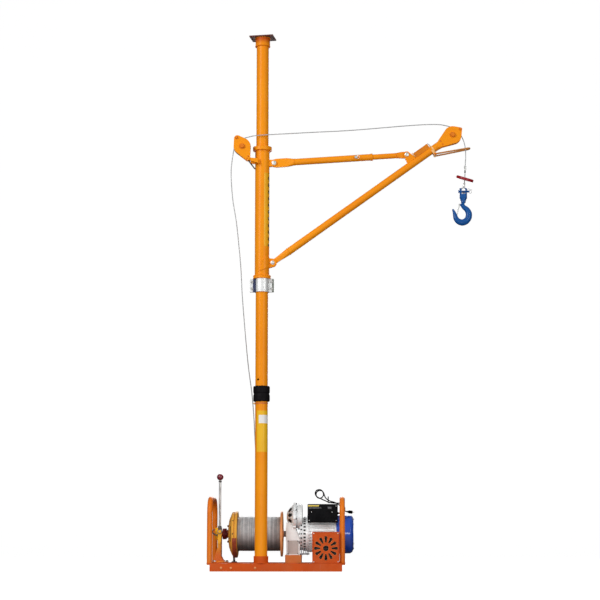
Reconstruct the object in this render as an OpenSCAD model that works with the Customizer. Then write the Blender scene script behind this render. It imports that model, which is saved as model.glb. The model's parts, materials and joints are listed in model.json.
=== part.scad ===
// Portable mini crane: a prop mast on a winch base, a slewing boom with a telescopic tie,
// a hoist rope over two sheaves, a swivel hook, and a drum driven by a geared motor.
// Millimetres. Origin on the floor at the mast's axis, +X along the boom, +Z up.

/* [Mast] */
// Height from the floor to the top of the ceiling plate
total_h = 3300; // [3240:3400]
// Outside diameter of the mast tubes
mast_d = 76; // [75:78]
// Wall of the mast tubes
mast_t = 4; // [3:6]
// Height of the joint between the lower and the upper tube
splice_z = 1060; // [1000:1100]
// Wall of the splice coupling
coupling_t = 12; // [8:18]
// Length of the splice coupling
coupling_h = 94; // [70:130]
// Wall of the foot socket
socket_t = 6; // [4:12]
// Height of the foot socket
socket_h = 42; // [30:60]
// Width of the ceiling plate
plate_w = 150; // [120:180]
// Depth of the ceiling plate
plate_l = 112; // [100:150]
// Thickness of the ceiling plate
plate_t = 8; // [6:12]
// Turn of the ceiling plate about the mast
plate_turn = -9; // [-15:0]
// Wall of the collar under the ceiling plate
collar_t = 7.5; // [5:14]
// Height of the collar under the ceiling plate
collar_h = 52; // [40:70]

/* [Slewing sleeve] */
// Underside of the slewing sleeve
sleeve_z0 = 1766; // [1740:1790]
// Top of the slewing sleeve
sleeve_z1 = 2592; // [2575:2610]
// Wall of the sleeve
sleeve_t = 6; // [5:7]
// How far the sleeve's top ring stands out from the sleeve
ring_t = 14; // [10:17]
// Height of the sleeve's top ring
ring_h = 23; // [16:30]
// How far the sleeve's bottom ring stands out from the sleeve
foot_ring_t = 10.5; // [6:15]
// Height of the sleeve's bottom ring
foot_ring_h = 17; // [12:24]
// Length of the clamp's ears
clamp_ear = 27; // [20:34]
// Height of the clamp
clamp_h = 82; // [60:100]
// Wall of the clamp's shells
clamp_t = 8; // [6:12]

/* [Boom] */
// Distance of the boom's foot pivot from the sleeve
foot_gap = 20.5; // [18:26]
// Height of the boom's foot pivot
foot_z = 1865; // [1850:1880]
// Reach of the head sheave's axle
head_x = 1178; // [1160:1200]
// Height of the head sheave's axle
head_z = 2661; // [2650:2680]
// Outside diameter of the boom tube
boom_d = 45; // [42:48]
// Wall of the boom tube
boom_t = 3.5; // [3:5]
// Thickness of the boom's flattened foot
foot_t = 16; // [12:20]
// Thickness of the welded saddle under the boom's lug
saddle_t = 3; // [2:5]
// Diameter of the pivot pins
pin_d = 16; // [14:18]

/* [Tie] */
// Distance of the tie's mast pivot from the sleeve
tie_gap = 28.5; // [26:33]
// Height of the tie's pivot at the mast
tie_z = 2491; // [2485:2497]
// Reach of the tie's pivot on the boom
end_x = 893; // [885:900]
// Height of the tie's pivot on the boom
end_z = 2539; // [2534:2544]
// Outside diameter of the outer tie tube
tie_d = 41; // [39:44]
// Wall of the outer tie tube
tie_t = 3.5; // [3:4.5]
// Diameter of the sliding tie tube
rod_d = 33; // [30:33.2]
// Thickness of the tie's flattened ends
tie_end_t = 14; // [12:16]
// Length of the outer tie tube from its pivot
tie_len = 611; // [580:640]

/* [Rope and sheaves] */
// Diameter of the hoist rope
rope_d = 6; // [4:6]
// Radius of the rope's centre line on a sheave
rope_r = 48; // [46:50]
// Width of a sheave
sheave_w = 20; // [16:22]
// Gap between a sheave's cheek plates
cheek_gap = 28; // [26:32]
// Thickness of a cheek plate
cheek_t = 5; // [4:7]
// Distance of the rear sheave's axle from the sleeve
rear_gap = 77.5; // [75:83]
// Height of the rear sheave's axle
rear_z = 2584; // [2574:2594]
// Offset of the rear sheave to the side
rear_y = -56; // [-60:-54]

/* [Hook] */
// Diameter of the stop disc
disc_d = 110; // [90:130]
// Thickness of the stop disc
disc_t = 18; // [12:24]
// Tilt of the stop disc
disc_tilt = 17; // [0:20]
// Lean of the hook's stop disc, towards the front
disc_lean = 13; // [0:16]
// Largest thickness of the hook
hook_t = 40; // [34:42]

/* [Base] */
// Left end of the front rail
rail_x0 = -303; // [-312:-300]
// Right end of the front rail
rail_x1 = 483; // [481:492]
// Height of the rails
rail_h = 48; // [44:48]
// Depth of the rails
rail_w = 78; // [70:84]
// Distance between the rails' middle lines
rail_gap = 400; // [396:420]
// Wall of the rails
rail_t = 4; // [3:6]
// Diameter of the guard hoops' tube
hoop_d = 32; // [28:34]
// Top of the guard hoops
hoop_h = 446; // [425:470]
// Bend radius of the guard hoops
hoop_r = 92; // [70:110]

/* [Winch] */
// Distance of the drum's axis behind the mast
drum_y = 205; // [200:208]
// Height of the drum's axis
drum_z = 222; // [218:226]
// Left side of the rope pack
pack_x0 = -151; // [-156:-146]
// Right side of the rope pack
pack_x1 = 111; // [105:116]
// Diameter of the rope pack
pack_d = 208; // [180:220]
// Diameter of the drum's flange
flange_d = 272; // [250:276]
// Width of the brake wheel
wheel_w = 58; // [45:62]
// Diameter of the drum's shaft
shaft_d = 36; // [30:38]
// Length of the clutch lever's rod
lever_len = 310; // [280:340]
// Diameter of the clutch lever's knob
knob_d = 40; // [34:46]

/* [Drive] */
// Left end of the motor body
motor_x0 = 271; // [269:276]
// Right end of the motor body
motor_x1 = 451; // [445:453]
// Diameter over the motor's fins
motor_d = 222; // [210:226]
// Diameter of the fan cover
fan_d = 236; // [232:240]
// Right end of the fan cover
fan_x1 = 552; // [540:560]
// Width of the control box
box_w = 182; // [160:188]
// Height of the control box
box_h = 109; // [90:120]
// Width of the vented box
vent_w = 162; // [150:162]
// Height of the vented box
vent_h = 185; // [170:190]
// Depth of the vented box
vent_l = 104; // [90:108]

/* [Hidden] */
// Clearances: the sleeve on the mast, a pin in its hole, the open pivot, a seat, a saddle, the rope on a sheave
run_c = 0.5;
pin_c = 0.35;
open_c = 4;
seat_c = 0.1;
saddle_c = 0.3;
rope_c = 0.8;
lead_d = 6;
lever_pin = 12;
latch_x = 1214;
latch_z = 2223;
latch_pin = 4;
sleeve_id = mast_d + 2*run_c;
sleeve_od = sleeve_id + 2*sleeve_t;
coupling_d = mast_d + 2*coupling_t;
clamp_w = mast_d + 2*clamp_t + 2*clamp_ear;
foot_x = sleeve_od/2 + foot_gap;
tie_x = sleeve_od/2 + tie_gap;
rear_x = -sleeve_od/2 - rear_gap;
boom_a = atan2(head_z - foot_z, head_x - foot_x);
boom_len = norm([head_x - foot_x, head_z - foot_z]);
tie_a = atan2(end_z - tie_z, end_x - tie_x);
tie_l = norm([end_x - tie_x, end_z - tie_z]);
rel = [end_x - foot_x, end_z - foot_z];
end_s = rel[0]*cos(boom_a) + rel[1]*sin(boom_a);
end_n = rel[1]*cos(boom_a) - rel[0]*sin(boom_a);
groove_r = rope_r - rope_d/2 - rope_c;
rim_r = rope_r + 5;
switch_s = boom_len - 266;
switch_l = 104;
band_s = switch_s + switch_l + 5;
arm_s = band_s - 4;
arm_n = 36;
arm_tilt = 10.5;
arm_len = 200;
head_cheek_r = rope_r + 7;
wheel_x = pack_x0 - wheel_w;
ped_x = wheel_x - 59;
gear_x = pack_x1 + 35;
cover_x = gear_x + 44;
cover_y = drum_y - 20;
cover_z = 326;
cover_d = 164;
column_h = 290;
cross_x = [ped_x + 2, gear_x + 42, 440];
barrel_d = 90;
hoop_x0 = rail_x0 - 5;
hoop_x1 = rail_x1 + 3;
vent_x0 = hoop_x1 - hoop_d/2 - 1 - vent_w;
vent_y0 = -34;
box_x0 = 277;
box_z0 = 289;
box_y0 = 66;
box_l = 150;
lever_x = ped_x + 12;
lever_y = 118;
lever_z = 236;
$fn = 48;

// ---- helpers ----

// Unit vector along v.
function unit(v) = v/norm(v);

// Points of a ring of n sides and radius r about p, square to the direction t.
function ring(p, t, ref, r, n) =
  let (s = unit(cross(t, ref)), u = cross(s, t))
  [for (i = [0:n - 1]) p + r*(cos(360*i/n)*s + sin(360*i/n)*u)];

// A round bar of n sides through the points p with the radii r.
module bar(p, r, n, ref) {
  m = len(p);
  tan = [for (i = [0:m - 1]) unit(p[min(i + 1, m - 1)] - p[max(i - 1, 0)])];
  pts = [for (i = [0:m - 1]) each ring(p[i], tan[i], ref, r[i], n)];
  sides = [for (i = [0:m - 2]) for (j = [0:n - 1])
    [i*n + j, i*n + (j + 1)%n, (i + 1)*n + (j + 1)%n, (i + 1)*n + j]];
  first = [[for (j = [0:n - 1]) n - 1 - j]];
  last = [[for (j = [0:n - 1]) (m - 1)*n + j]];
  polyhedron(pts, concat(first, sides, last), convexity = 8);
}

// A smooth line through the points p, with k steps between each pair.
function smooth(p, k) =
  let (m = len(p))
  [for (i = [0:m - 2]) for (j = [0:k - 1])
    let (a = p[max(i - 1, 0)], b = p[i], c = p[i + 1], d = p[min(i + 2, m - 1)], t = j/k)
    0.5*(2*b + (c - a)*t + (2*a - 5*b + 4*c - d)*t*t + (3*b - a - 3*c + d)*t*t*t), p[m - 1]];

// A straight tube along +Z.
module tube(d, t, h) {
  difference() {
    cylinder(d = d, h = h);
    translate([0, 0, -1]) cylinder(d = d - 2*t, h = h + 2);
  }
}

// A plate of thickness t in the XZ plane, its near face at y.
module slab(y, t) {
  translate([0, y + t, 0]) rotate([90, 0, 0]) linear_extrude(t) children();
}

// Places children in the boom's frame: X along the boom from the foot pivot.
module on_boom() {
  translate([foot_x, 0, foot_z]) rotate([0, -boom_a, 0]) children();
}

// Places children in the tie's frame: X along the tie from its mast pivot.
module on_tie() {
  translate([tie_x, 0, tie_z]) rotate([0, -tie_a, 0]) children();
}

// A pin across the boom's plane, from y0 to y1.
module cross_pin(d, y0, y1) {
  translate([0, y1, 0]) rotate([90, 0, 0]) cylinder(d = d, h = y1 - y0);
}

// ---- base ----

module rail_at(y) {
  difference() {
    translate([rail_x0, y - rail_w/2, 0]) cube([rail_x1 - rail_x0, rail_w, rail_h]);
    translate([rail_x0 - 1, y - rail_w/2 + rail_t, rail_t])
      cube([rail_x1 - rail_x0 + 2, rail_w - 2*rail_t, rail_h - 2*rail_t]);
    for (x = [hoop_x0, hoop_x1])
      translate([x, y, 38]) cylinder(d = hoop_d, h = rail_h);
  }
}

module front_rail() {
  color("orangered") rail_at(0);
}

module rear_rail() {
  color("orangered") rail_at(rail_gap);
}

module cross_rails() {
  color("orangered")
    for (x = cross_x)
      translate([x - 26, rail_w/2, 0]) difference() {
        cube([52, rail_gap - rail_w, rail_h]);
        translate([rail_t, -1, rail_t])
          cube([52 - 2*rail_t, rail_gap, rail_h - 2*rail_t]);
      }
}

module hoop_at(x) {
  r = hoop_r;
  h = hoop_h - hoop_d/2 - r;
  for (y = [0, rail_gap])
    translate([x, y, 38]) cylinder(d = hoop_d, h = h - 38);
  translate([x, r, h + r]) rotate([-90, 0, 0]) cylinder(d = hoop_d, h = rail_gap - 2*r);
  translate([x, r, h]) mirror([0, 1, 0]) rotate([0, -90, 0])
    rotate_extrude(angle = 90) translate([r, 0]) circle(d = hoop_d);
  translate([x, rail_gap - r, h]) rotate([0, -90, 0])
    rotate_extrude(angle = 90) translate([r, 0]) circle(d = hoop_d);
}

module left_hoop() {
  color("orangered") hoop_at(hoop_x0);
}

module right_hoop() {
  color("orangered") hoop_at(hoop_x1);
}

// ---- mast ----

module mast_socket() {
  color("orangered") translate([0, 0, rail_h]) tube(mast_d + 2*socket_t, socket_t - seat_c, socket_h);
}

module lower_mast() {
  color("orange") translate([0, 0, rail_h]) tube(mast_d, mast_t, splice_z - rail_h);
}

module upper_mast() {
  color("orange") difference() {
    translate([0, 0, splice_z]) tube(mast_d, mast_t, total_h - plate_t - splice_z);
    translate([-19, 0, 1145]) rotate([90, 0, 0]) cylinder(d = 13, h = mast_d);
  }
}

module mast_coupling() {
  color("black") translate([0, 0, splice_z - coupling_h/2]) difference() {
    tube(coupling_d, coupling_t - seat_c, coupling_h);
    translate([0, 0, coupling_h/2 - 3]) difference() {
      cylinder(d = coupling_d + 4, h = 6);
      translate([0, 0, -1]) cylinder(d = coupling_d - 6, h = 8);
    }
  }
}

module ceiling_collar() {
  color("orange") translate([0, 0, total_h - plate_t - collar_h])
    tube(mast_d + 2*collar_t, collar_t - seat_c, collar_h);
}

module ceiling_plate() {
  color("orange") translate([0, 0, total_h - plate_t]) rotate([0, 0, plate_turn])
    translate([-plate_w/2, -plate_l/2, 0]) difference() {
      cube([plate_w, plate_l, plate_t]);
      for (x = [14, plate_w - 14]) for (y = [14, plate_l - 14])
        translate([x, y, -1]) cylinder(d = 11, h = plate_t + 2);
    }
}

module height_clamp() {
  color("silver") translate([0, 0, sleeve_z0 - run_c - clamp_h]) for (s = [0, 180])
    rotate([0, 0, s]) difference() {
      union() {
        cylinder(d = mast_d + 2*clamp_t, h = clamp_h);
        translate([-clamp_w/2, -9, 0]) cube([clamp_w, 9, clamp_h]);
      }
      translate([0, 0, -1]) cylinder(d = mast_d + 2*seat_c, h = clamp_h + 2);
      translate([-clamp_w, -1.5, -1]) cube([2*clamp_w, clamp_w, clamp_h + 2]);
      for (x = [13 - clamp_w/2, clamp_w/2 - 13]) for (z = [20, clamp_h - 20])
        translate([x, 0, z]) rotate([90, 0, 0]) cylinder(d = 9, h = 60, center = true);
    }
}

// ---- winch ----

module drum_pedestal() {
  color("gold") difference() {
    union() {
      translate([ped_x - 28, drum_y - 64, rail_h]) cube([84, 128, 8]);
      for (y = [drum_y - 48, drum_y + 38]) slab(y, 10) pedestal_side();
      slabx(ped_x, 12) polygon([[drum_y - 40, rail_h + 6], [drum_y + 40, rail_h + 6],
        [drum_y + 30, drum_z], [drum_y - 30, drum_z]]);
      translate([ped_x - 18, drum_y, drum_z]) rotate([0, 90, 0]) cylinder(d = 2*shaft_d + 4, h = 36);
      slab(lever_y + 12, 8) polygon([[ped_x, drum_z - 60], [ped_x + 16, drum_z - 60],
        [lever_x + 12, lever_z + 6], [lever_x, lever_z + 12], [lever_x - 12, lever_z + 6]]);
      translate([ped_x, lever_y + 12, drum_z - 58]) cube([12, drum_y - lever_y - 52, 34]);
      translate([lever_x, lever_y, lever_z]) cross_pin(lever_pin, -14, 14);
      translate([lever_x, lever_y, lever_z]) cross_pin(20, -14, -10.5);
    }
    translate([ped_x - 22, drum_y, drum_z]) rotate([0, 90, 0]) cylinder(d = shaft_d + 2*pin_c, h = 46);
  }
}

// A plate of thickness t in the YZ plane, its left face at x.
module slabx(x, t) {
  translate([x, 0, 0]) rotate([90, 0, 90]) linear_extrude(t) children();
}

module pedestal_side() {
  polygon([[ped_x - 35, rail_h + 6], [ped_x - 4, rail_h + 92], [ped_x - 4, drum_z - 20],
    [ped_x + 16, drum_z - 20], [ped_x + 16, rail_h + 40], [ped_x + 28, rail_h + 18],
    [ped_x + 50, rail_h + 6]]);
}

module drum_barrel() {
  color("orange") translate([0, drum_y, drum_z]) rotate([0, 90, 0]) {
    translate([0, 0, ped_x - 17]) cylinder(d = shaft_d, h = gear_x + 44 - ped_x + 17);
    translate([0, 0, wheel_x - 34]) cylinder(d = 64, h = 14);
    translate([0, 0, wheel_x - 20]) cylinder(d = 48, h = 16);
    translate([0, 0, pack_x0]) cylinder(d = barrel_d, h = pack_x1 - pack_x0);
    translate([0, 0, pack_x1]) difference() {
      cylinder(d = flange_d, h = 12);
      for (a = [0:60:300]) rotate([0, 0, a]) translate([flange_d/2 - 46, 0, -1]) cylinder(d = 30, h = 14);
    }
  }
}

module brake_wheel() {
  color("gold") translate([pack_x0, drum_y, drum_z]) rotate([0, -90, 0]) difference() {
    rotate_extrude($fn = 96) polygon([[shaft_d/2, 0], [flange_d/2, 0], [flange_d/2, 14],
      [flange_d/2 - 9, 15], [flange_d/2 - 9, 19], [flange_d/2 - 2, 20], [flange_d/2 - 2, 29],
      [flange_d/2 - 8, 35], [86, wheel_w - 6], [42, wheel_w], [34, wheel_w - 6], [shaft_d/2, wheel_w - 6]]);
    for (a = [15:60:315]) rotate([0, 0, a]) translate([flange_d/2 - 36, 0, 10]) cylinder(d = 24, h = 60);
  }
}

module rope_pack() {
  color("lightgray") translate([pack_x0, drum_y, drum_z]) rotate([0, 90, 0])
    tube(pack_d, (pack_d - barrel_d)/2, pack_x1 - pack_x0);
}

module lever_arm() {
  color("silver") translate([lever_x, lever_y, lever_z]) difference() {
    union() {
      cylinder(d = 14, h = lever_len);
      cross_pin(28, -10, 10);
    }
    cross_pin(lever_pin + 2*pin_c, -20, 20);
  }
}

module lever_knob() {
  color("darkred") translate([lever_x, lever_y, lever_z + lever_len + knob_d/2 - 2]) difference() {
    sphere(d = knob_d);
    translate([0, 0, -knob_d]) cylinder(d = 14, h = knob_d - knob_d/2 + 2);
  }
}

module gearbox_foot() {
  color("orangered") translate([gear_x - 7, drum_y - 75, rail_h]) difference() {
    cube([99, 150, 47]);
    translate([6, 6, -1]) cube([87, 138, 42]);
  }
}

module gearbox_column() {
  color("silver") difference() {
    union() {
      slab(drum_y - 58, 116) polygon([[gear_x, rail_h + 47], [gear_x + 82, rail_h + 47],
        [gear_x + 82, drum_z - 36], [cover_x, column_h], [gear_x, column_h]]);
      translate([gear_x - 3, drum_y, drum_z]) rotate([0, 90, 0]) cylinder(d = 92, h = 4);
    }
    translate([gear_x - 6, drum_y, drum_z]) rotate([0, 90, 0]) cylinder(d = shaft_d + 2*pin_c, h = 54);
    translate([gear_x + 7, drum_y - 60, rail_h + 52]) cube([68, 6, 82]);
    translate([cover_x, cover_y, cover_z]) rotate([0, 90, 0]) cylinder(d = cover_d + 1, h = 50);
  }
}

module gearbox_case() {
  color("silver") translate([0, drum_y, drum_z]) rotate([0, 90, 0]) difference() {
    union() {
      translate([0, 0, gear_x + 82]) cylinder(d = 196, h = 20);
      translate([0, 0, gear_x + 100]) cylinder(d = 204, h = motor_x0 - gear_x - 100);
    }
    translate([drum_z - cover_z, cover_y - drum_y, cover_x - 10]) cylinder(d = cover_d + 1, h = 63.5);
  }
}

module gearbox_cover() {
  color("silver") translate([cover_x, cover_y, cover_z]) rotate([0, 90, 0]) difference() {
    union() {
      cylinder(d = cover_d, h = 15);
      translate([0, 0, 14]) cylinder(d = cover_d - 24, h = 14);
      translate([0, 0, 27]) cylinder(d = cover_d - 8, h = 26);
      translate([0, 0, -42]) cylinder(d1 = 40, d2 = cover_d - 16, h = 43);
    }
    translate([cover_z - column_h - 0.2, -60, -50]) cube([100, 140, 50]);
    for (a = [20:40:340]) rotate([0, 0, a]) translate([64, 0, -38]) rotate([0, 30, 0])
      cylinder(d = 20, h = 60, center = true);
  }
}

module motor_body() {
  color("silver") translate([motor_x0, drum_y, drum_z]) rotate([0, 90, 0]) {
    cylinder(d = motor_d - 24, h = motor_x1 - motor_x0);
    for (a = [0:10:350]) rotate([0, 0, a])
      translate([motor_d/2 - 16, -2, 9]) cube([15, 4, motor_x1 - motor_x0 - 18]);
    cylinder(d = motor_d, h = 10);
    translate([0, 0, motor_x1 - motor_x0 - 10]) cylinder(d = motor_d, h = 10);
  }
}

module motor_shield() {
  color("blue") translate([motor_x1, drum_y, drum_z]) rotate([0, 90, 0])
    cylinder(d = fan_d, h = 23);
}

module fan_cover() {
  x0 = motor_x1 + 23;
  color("blue") translate([x0, drum_y, drum_z]) rotate([0, 90, 0])
    rotate_extrude($fn = 96) difference() {
      polygon([[0, fan_x1 - x0 - 3], [0, fan_x1 - x0], [fan_d/2 - 22, fan_x1 - x0],
        [fan_d/2 - 8, fan_x1 - x0 - 6], [fan_d/2, fan_x1 - x0 - 20], [fan_d/2, 0],
        [fan_d/2 - 3, 0], [fan_d/2 - 3, fan_x1 - x0 - 20], [fan_d/2 - 22, fan_x1 - x0 - 3]]);
    }
}

module control_box() {
  color("black") difference() {
    translate([box_x0, box_y0, box_z0]) cube([box_w, box_l, box_h]);
    translate([box_x0 - 1, drum_y, drum_z]) rotate([0, 90, 0])
      cylinder(d = motor_d + 0.4, h = motor_x1 - box_x0 + 1);
    translate([motor_x1, drum_y, drum_z]) rotate([0, 90, 0])
      cylinder(d = fan_d + 1, h = 40);
  }
}

module vent_box() {
  color("orangered") translate([vent_x0, vent_y0 + 3, rail_h]) difference() {
    cube([vent_w, vent_l - 3, vent_h]);
    translate([3, -1, 3]) cube([vent_w - 6, vent_l - 5, vent_h - 6]);
  }
}

module vent_cover() {
  color("orangered") translate([vent_x0, vent_y0, rail_h]) difference() {
    cube([vent_w, 3, vent_h]);
    translate([vent_w/2, 4, vent_h/2 - 4]) rotate([90, 0, 0]) {
      cylinder(d = 34, h = 5);
      for (a = [0:30:330]) rotate([0, 0, a]) {
        translate([62, 0, 0]) cylinder(d = 19, h = 5);
        linear_extrude(5) polygon([[33, -4], [33, 4], [62, 9.5], [62, -9.5]]);
      }
    }
  }
}

// ---- slewing sleeve ----

module slew_sleeve() {
  color("orange") difference() {
    union() {
      translate([0, 0, sleeve_z0]) cylinder(d = sleeve_od, h = sleeve_z1 - sleeve_z0);
      translate([0, 0, sleeve_z0]) cylinder(d1 = sleeve_od + 2*foot_ring_t,
        d2 = sleeve_od + 2*foot_ring_t - 8, h = foot_ring_h);
      translate([0, 0, sleeve_z1 - ring_h]) cylinder(d = sleeve_od + 2*ring_t, h = ring_h);
    }
    translate([0, 0, sleeve_z0 - 1]) cylinder(d = sleeve_id, h = sleeve_z1 - sleeve_z0 + 2);
  }
}

module boom_lug() {
  color("orange") {
    difference() {
      for (y = [foot_t/2 + 1, -foot_t/2 - 1 - 6]) slab(y, 6) difference() {
        union() {
          translate([foot_x, foot_z]) circle(r = 25);
          polygon([[10, foot_z + 31], [foot_x, foot_z + 25], [foot_x, foot_z - 25], [10, foot_z - 42]]);
        }
        translate([foot_x, foot_z]) circle(d = pin_d);
      }
      cylinder(d = sleeve_od + 2*seat_c, h = total_h);
    }
    intersection() {
      translate([0, 0, foot_z - 80]) tube(sleeve_od + 2*(saddle_c + saddle_t), saddle_t, 160);
      for (y = [-60, foot_t/2 + 2]) slab(y, 58 - foot_t/2)
        polygon([[-20, foot_z - 58], [60, foot_z - 22], [60, foot_z + 31], [20, foot_z + 31]]);
    }
    translate([foot_x, 0, foot_z]) cross_pin(pin_d, -foot_t/2 - 9, foot_t/2 + 9);
  }
}

module tie_lug() {
  color("orange") {
    difference() {
      for (y = [tie_end_t/2 + 1, -tie_end_t/2 - 1 - 6]) slab(y, 6) difference() {
        union() {
          translate([tie_x, tie_z]) circle(r = 19);
          polygon([[10, tie_z + 24], [tie_x, tie_z + 19], [tie_x, tie_z - 19], [10, tie_z - 24]]);
        }
        translate([tie_x, tie_z]) circle(d = pin_d);
      }
      cylinder(d = sleeve_od + 2*seat_c, h = total_h);
    }
    translate([tie_x, 0, tie_z]) cross_pin(pin_d, -tie_end_t/2 - 9, tie_end_t/2 + 9);
  }
}

module cheek_shape_rear() {
  difference() {
    hull() {
      translate([rear_x, rear_z]) circle(r = rope_r + 4);
      translate([rear_x - 29, rear_z + 48]) circle(r = 21);
      translate([rear_x + 34, rear_z - 74]) circle(r = 15);
    }
    translate([rear_x, rear_z]) circle(d = pin_d);
  }
}

module rear_cheeks() {
  color("orange") for (y = [rear_y - cheek_gap/2 - cheek_t, rear_y + cheek_gap/2])
    slab(y, cheek_t) cheek_shape_rear();
}

module rear_axle() {
  color("silver") {
    translate([rear_x, 0, rear_z])
      cross_pin(pin_d, rear_y - cheek_gap/2 - cheek_t - 6, rear_y + cheek_gap/2 + cheek_t + 4);
    translate([rear_x - 34, 0, rear_z + 54]) cross_pin(10, rear_y - cheek_gap/2, rear_y + cheek_gap/2);
  }
}

module rear_bracket() {
  color("orange") difference() {
    union() {
      slab(rear_y - cheek_gap/2, cheek_gap) polygon([[rear_x + 20, rear_z - 76],
        [rear_x + 44, rear_z - 62], [rear_x + 54, rear_z - 72], [-26, rear_z - 76],
        [-20, rear_z - 106], [rear_x + 44, rear_z - 88]]);
      translate([-sleeve_od/2 - 25.5, -sleeve_od/2 - 3.5, rear_z - 104]) cube([60, 20, 28]);
    }
    cylinder(d = sleeve_od + 2*seat_c, h = total_h);
  }
}

// ---- boom ----

module boom_tube() {
  color("orange") on_boom() difference() {
    union() {
      translate([118, 0, 0]) rotate([0, 90, 0]) tube(boom_d, boom_t, boom_len - 66 - 118);
      hull() {
        translate([119, 0, 0]) rotate([0, 90, 0]) cylinder(d = boom_d - 1, h = 3);
        translate([30, -foot_t/2, -15]) cube([8, foot_t, 30]);
      }
      slab(-foot_t/2, foot_t) hull() {
        circle(r = 15.4);
        translate([22, -15]) square([14, 30]);
      }
    }
    cross_pin(pin_d + 2*pin_c, -40, 40);
    for (y = [-cheek_gap/2 - 40, cheek_gap/2]) slab(y, 40) translate([boom_len, 0]) cheek_shape_head();
  }
}

module boom_tie_lug() {
  color("orange") {
    on_boom() difference() {
      for (y = [tie_end_t/2 + 2, -tie_end_t/2 - 2 - 6]) slab(y, 6) difference() {
        hull() {
          translate([end_s, end_n]) circle(r = 20);
          translate([end_s - 28, 8]) square([60, 8]);
        }
        translate([end_s, end_n]) circle(d = pin_d);
      }
      translate([end_s - 90, 0, 0]) rotate([0, 90, 0]) cylinder(d = boom_d + 2*seat_c, h = 220);
    }
    translate([end_x, 0, end_z]) cross_pin(pin_d, -tie_end_t/2 - 11, tie_end_t/2 + 11);
  }
}

module cheek_shape_head() {
  hull() {
    circle(r = head_cheek_r);
    translate([-96, 0]) circle(r = 21);
    rotate([0, 0, -boom_a]) translate([41, 31]) circle(r = 17);
  }
}

module head_cheeks() {
  color("orange") on_boom() for (y = [-cheek_gap/2 - cheek_t, cheek_gap/2])
    slab(y, cheek_t) difference() {
      translate([boom_len, 0]) cheek_shape_head();
      translate([boom_len, 0]) circle(d = pin_d);
    }
}

module head_axle() {
  color("silver") translate([head_x, 0, head_z]) {
    cross_pin(pin_d, -cheek_gap/2 - cheek_t - 6, cheek_gap/2 + cheek_t + 6);
    translate([49, 0, 36]) cross_pin(10, -cheek_gap/2, cheek_gap/2);
  }
}

module sheave() {
  rotate([90, 0, 0]) rotate_extrude($fn = 96) polygon([[pin_d/2 + pin_c, -sheave_w/2],
    [rim_r, -sheave_w/2], [rim_r, -sheave_w/2 + 3], [groove_r, -rope_d/2], [groove_r, rope_d/2],
    [rim_r, sheave_w/2 - 3], [rim_r, sheave_w/2], [pin_d/2 + pin_c, sheave_w/2]]);
}

module rear_sheave() {
  color("dimgray") translate([rear_x, rear_y, rear_z]) sheave();
}

module head_sheave() {
  color("dimgray") translate([head_x, 0, head_z]) sheave();
}

module limit_switch() {
  color("orange") on_boom() difference() {
    translate([switch_s, -17, 12]) cube([switch_l, 34, 34]);
    translate([switch_s - 10, 0, 0]) rotate([0, 90, 0])
      cylinder(d = boom_d + 2*seat_c, h = switch_l + 20);
  }
}

module limit_band() {
  color("wheat") on_boom() difference() {
    union() {
      translate([band_s, 0, 0]) rotate([0, 90, 0]) cylinder(d = boom_d + 6, h = 9);
      for (y = [-boom_d/2, boom_d/2 - 4]) translate([band_s - 10.5, y, -arm_n - 8]) cube([13, 4, arm_n + 8]);
    }
    translate([band_s - 20, 0, 0]) rotate([0, 90, 0]) cylinder(d = boom_d + 2*seat_c, h = 60);
    translate([arm_s, 0, -arm_n]) cross_pin(8, -40, 40);
  }
}

// The limit arm's pivot, below the boom
arm_p = [foot_x, 0, foot_z] + [arm_s*cos(boom_a) + arm_n*sin(boom_a), 0,
  arm_s*sin(boom_a) - arm_n*cos(boom_a)];

module limit_arm() {
  a = arm_tilt;
  l = arm_len;
  color("orange") translate(arm_p) {
    cross_pin(7, -27, 27);
    for (y = [-30, 30]) bar([[0, y, 0], [0.35*l*cos(a), 0.9*y, 0.35*l*sin(a)],
      [l*cos(a), 0.6*y, l*sin(a)]],
      [5, 5, 5], 12, [0, 0, 1]);
    translate([l*cos(a), 0, l*sin(a)]) rotate([0, -a, 0])
      rotate([0, 0, -90]) rotate_extrude(angle = 180) translate([18, 0]) circle(r = 5);
  }
}

// ---- tie ----

module tie_outer() {
  color("orange") on_tie() difference() {
    union() {
      translate([124, 0, 0]) rotate([0, 90, 0]) tube(tie_d, tie_t, tie_len - 124);
      hull() {
        translate([125, 0, 0]) rotate([0, 90, 0]) cylinder(d = tie_d - 1, h = 3);
        translate([70, -tie_end_t/2, -27]) cube([12, tie_end_t, 54]);
      }
      slab(-tie_end_t/2, tie_end_t) hull() {
        circle(r = 23.4);
        translate([14, -27]) square([58, 54]);
      }
      translate([508, 0, 0]) cross_pin(13, -tie_d/2 - 9, -rod_d/2 - 1);
    }
    cross_pin(pin_d + 2*pin_c, -40, 40);
  }
}

module tie_inner() {
  color("orange") on_tie() difference() {
    union() {
      translate([440, 0, 0]) rotate([0, 90, 0]) tube(rod_d, 3, tie_l - 62 - 440);
      hull() {
        translate([tie_l - 66, 0, 0]) rotate([0, 90, 0]) cylinder(d = rod_d - 1, h = 3);
        translate([tie_l - 34, -tie_end_t/2, -20]) cube([10, tie_end_t, 40]);
      }
      slab(-tie_end_t/2, tie_end_t) hull() {
        translate([tie_l, 0]) circle(r = 19);
        translate([tie_l - 26, 0]) circle(r = 20);
      }
    }
    translate([tie_l, 0, 0]) cross_pin(pin_d + 2*open_c, -40, 40);
  }
}

// ---- rope ----

drop_pts = [[rear_x - rope_r, rear_y, rear_z], [-184, -52, 2500], [-190, -47, 2410],
  [-180, -34, 2260], [-156, -18, 2103], [-131, 6, 1850], [-120, 28, 1642], [-90, 72, 1280],
  [-65, 104, 1076], [-53, 126, 931], [-46, 150, 780], [-34, 174, 600], [-14, 190, 440],
  [6, drum_y, drum_z + pack_d/2 + rope_d/2]];

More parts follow.
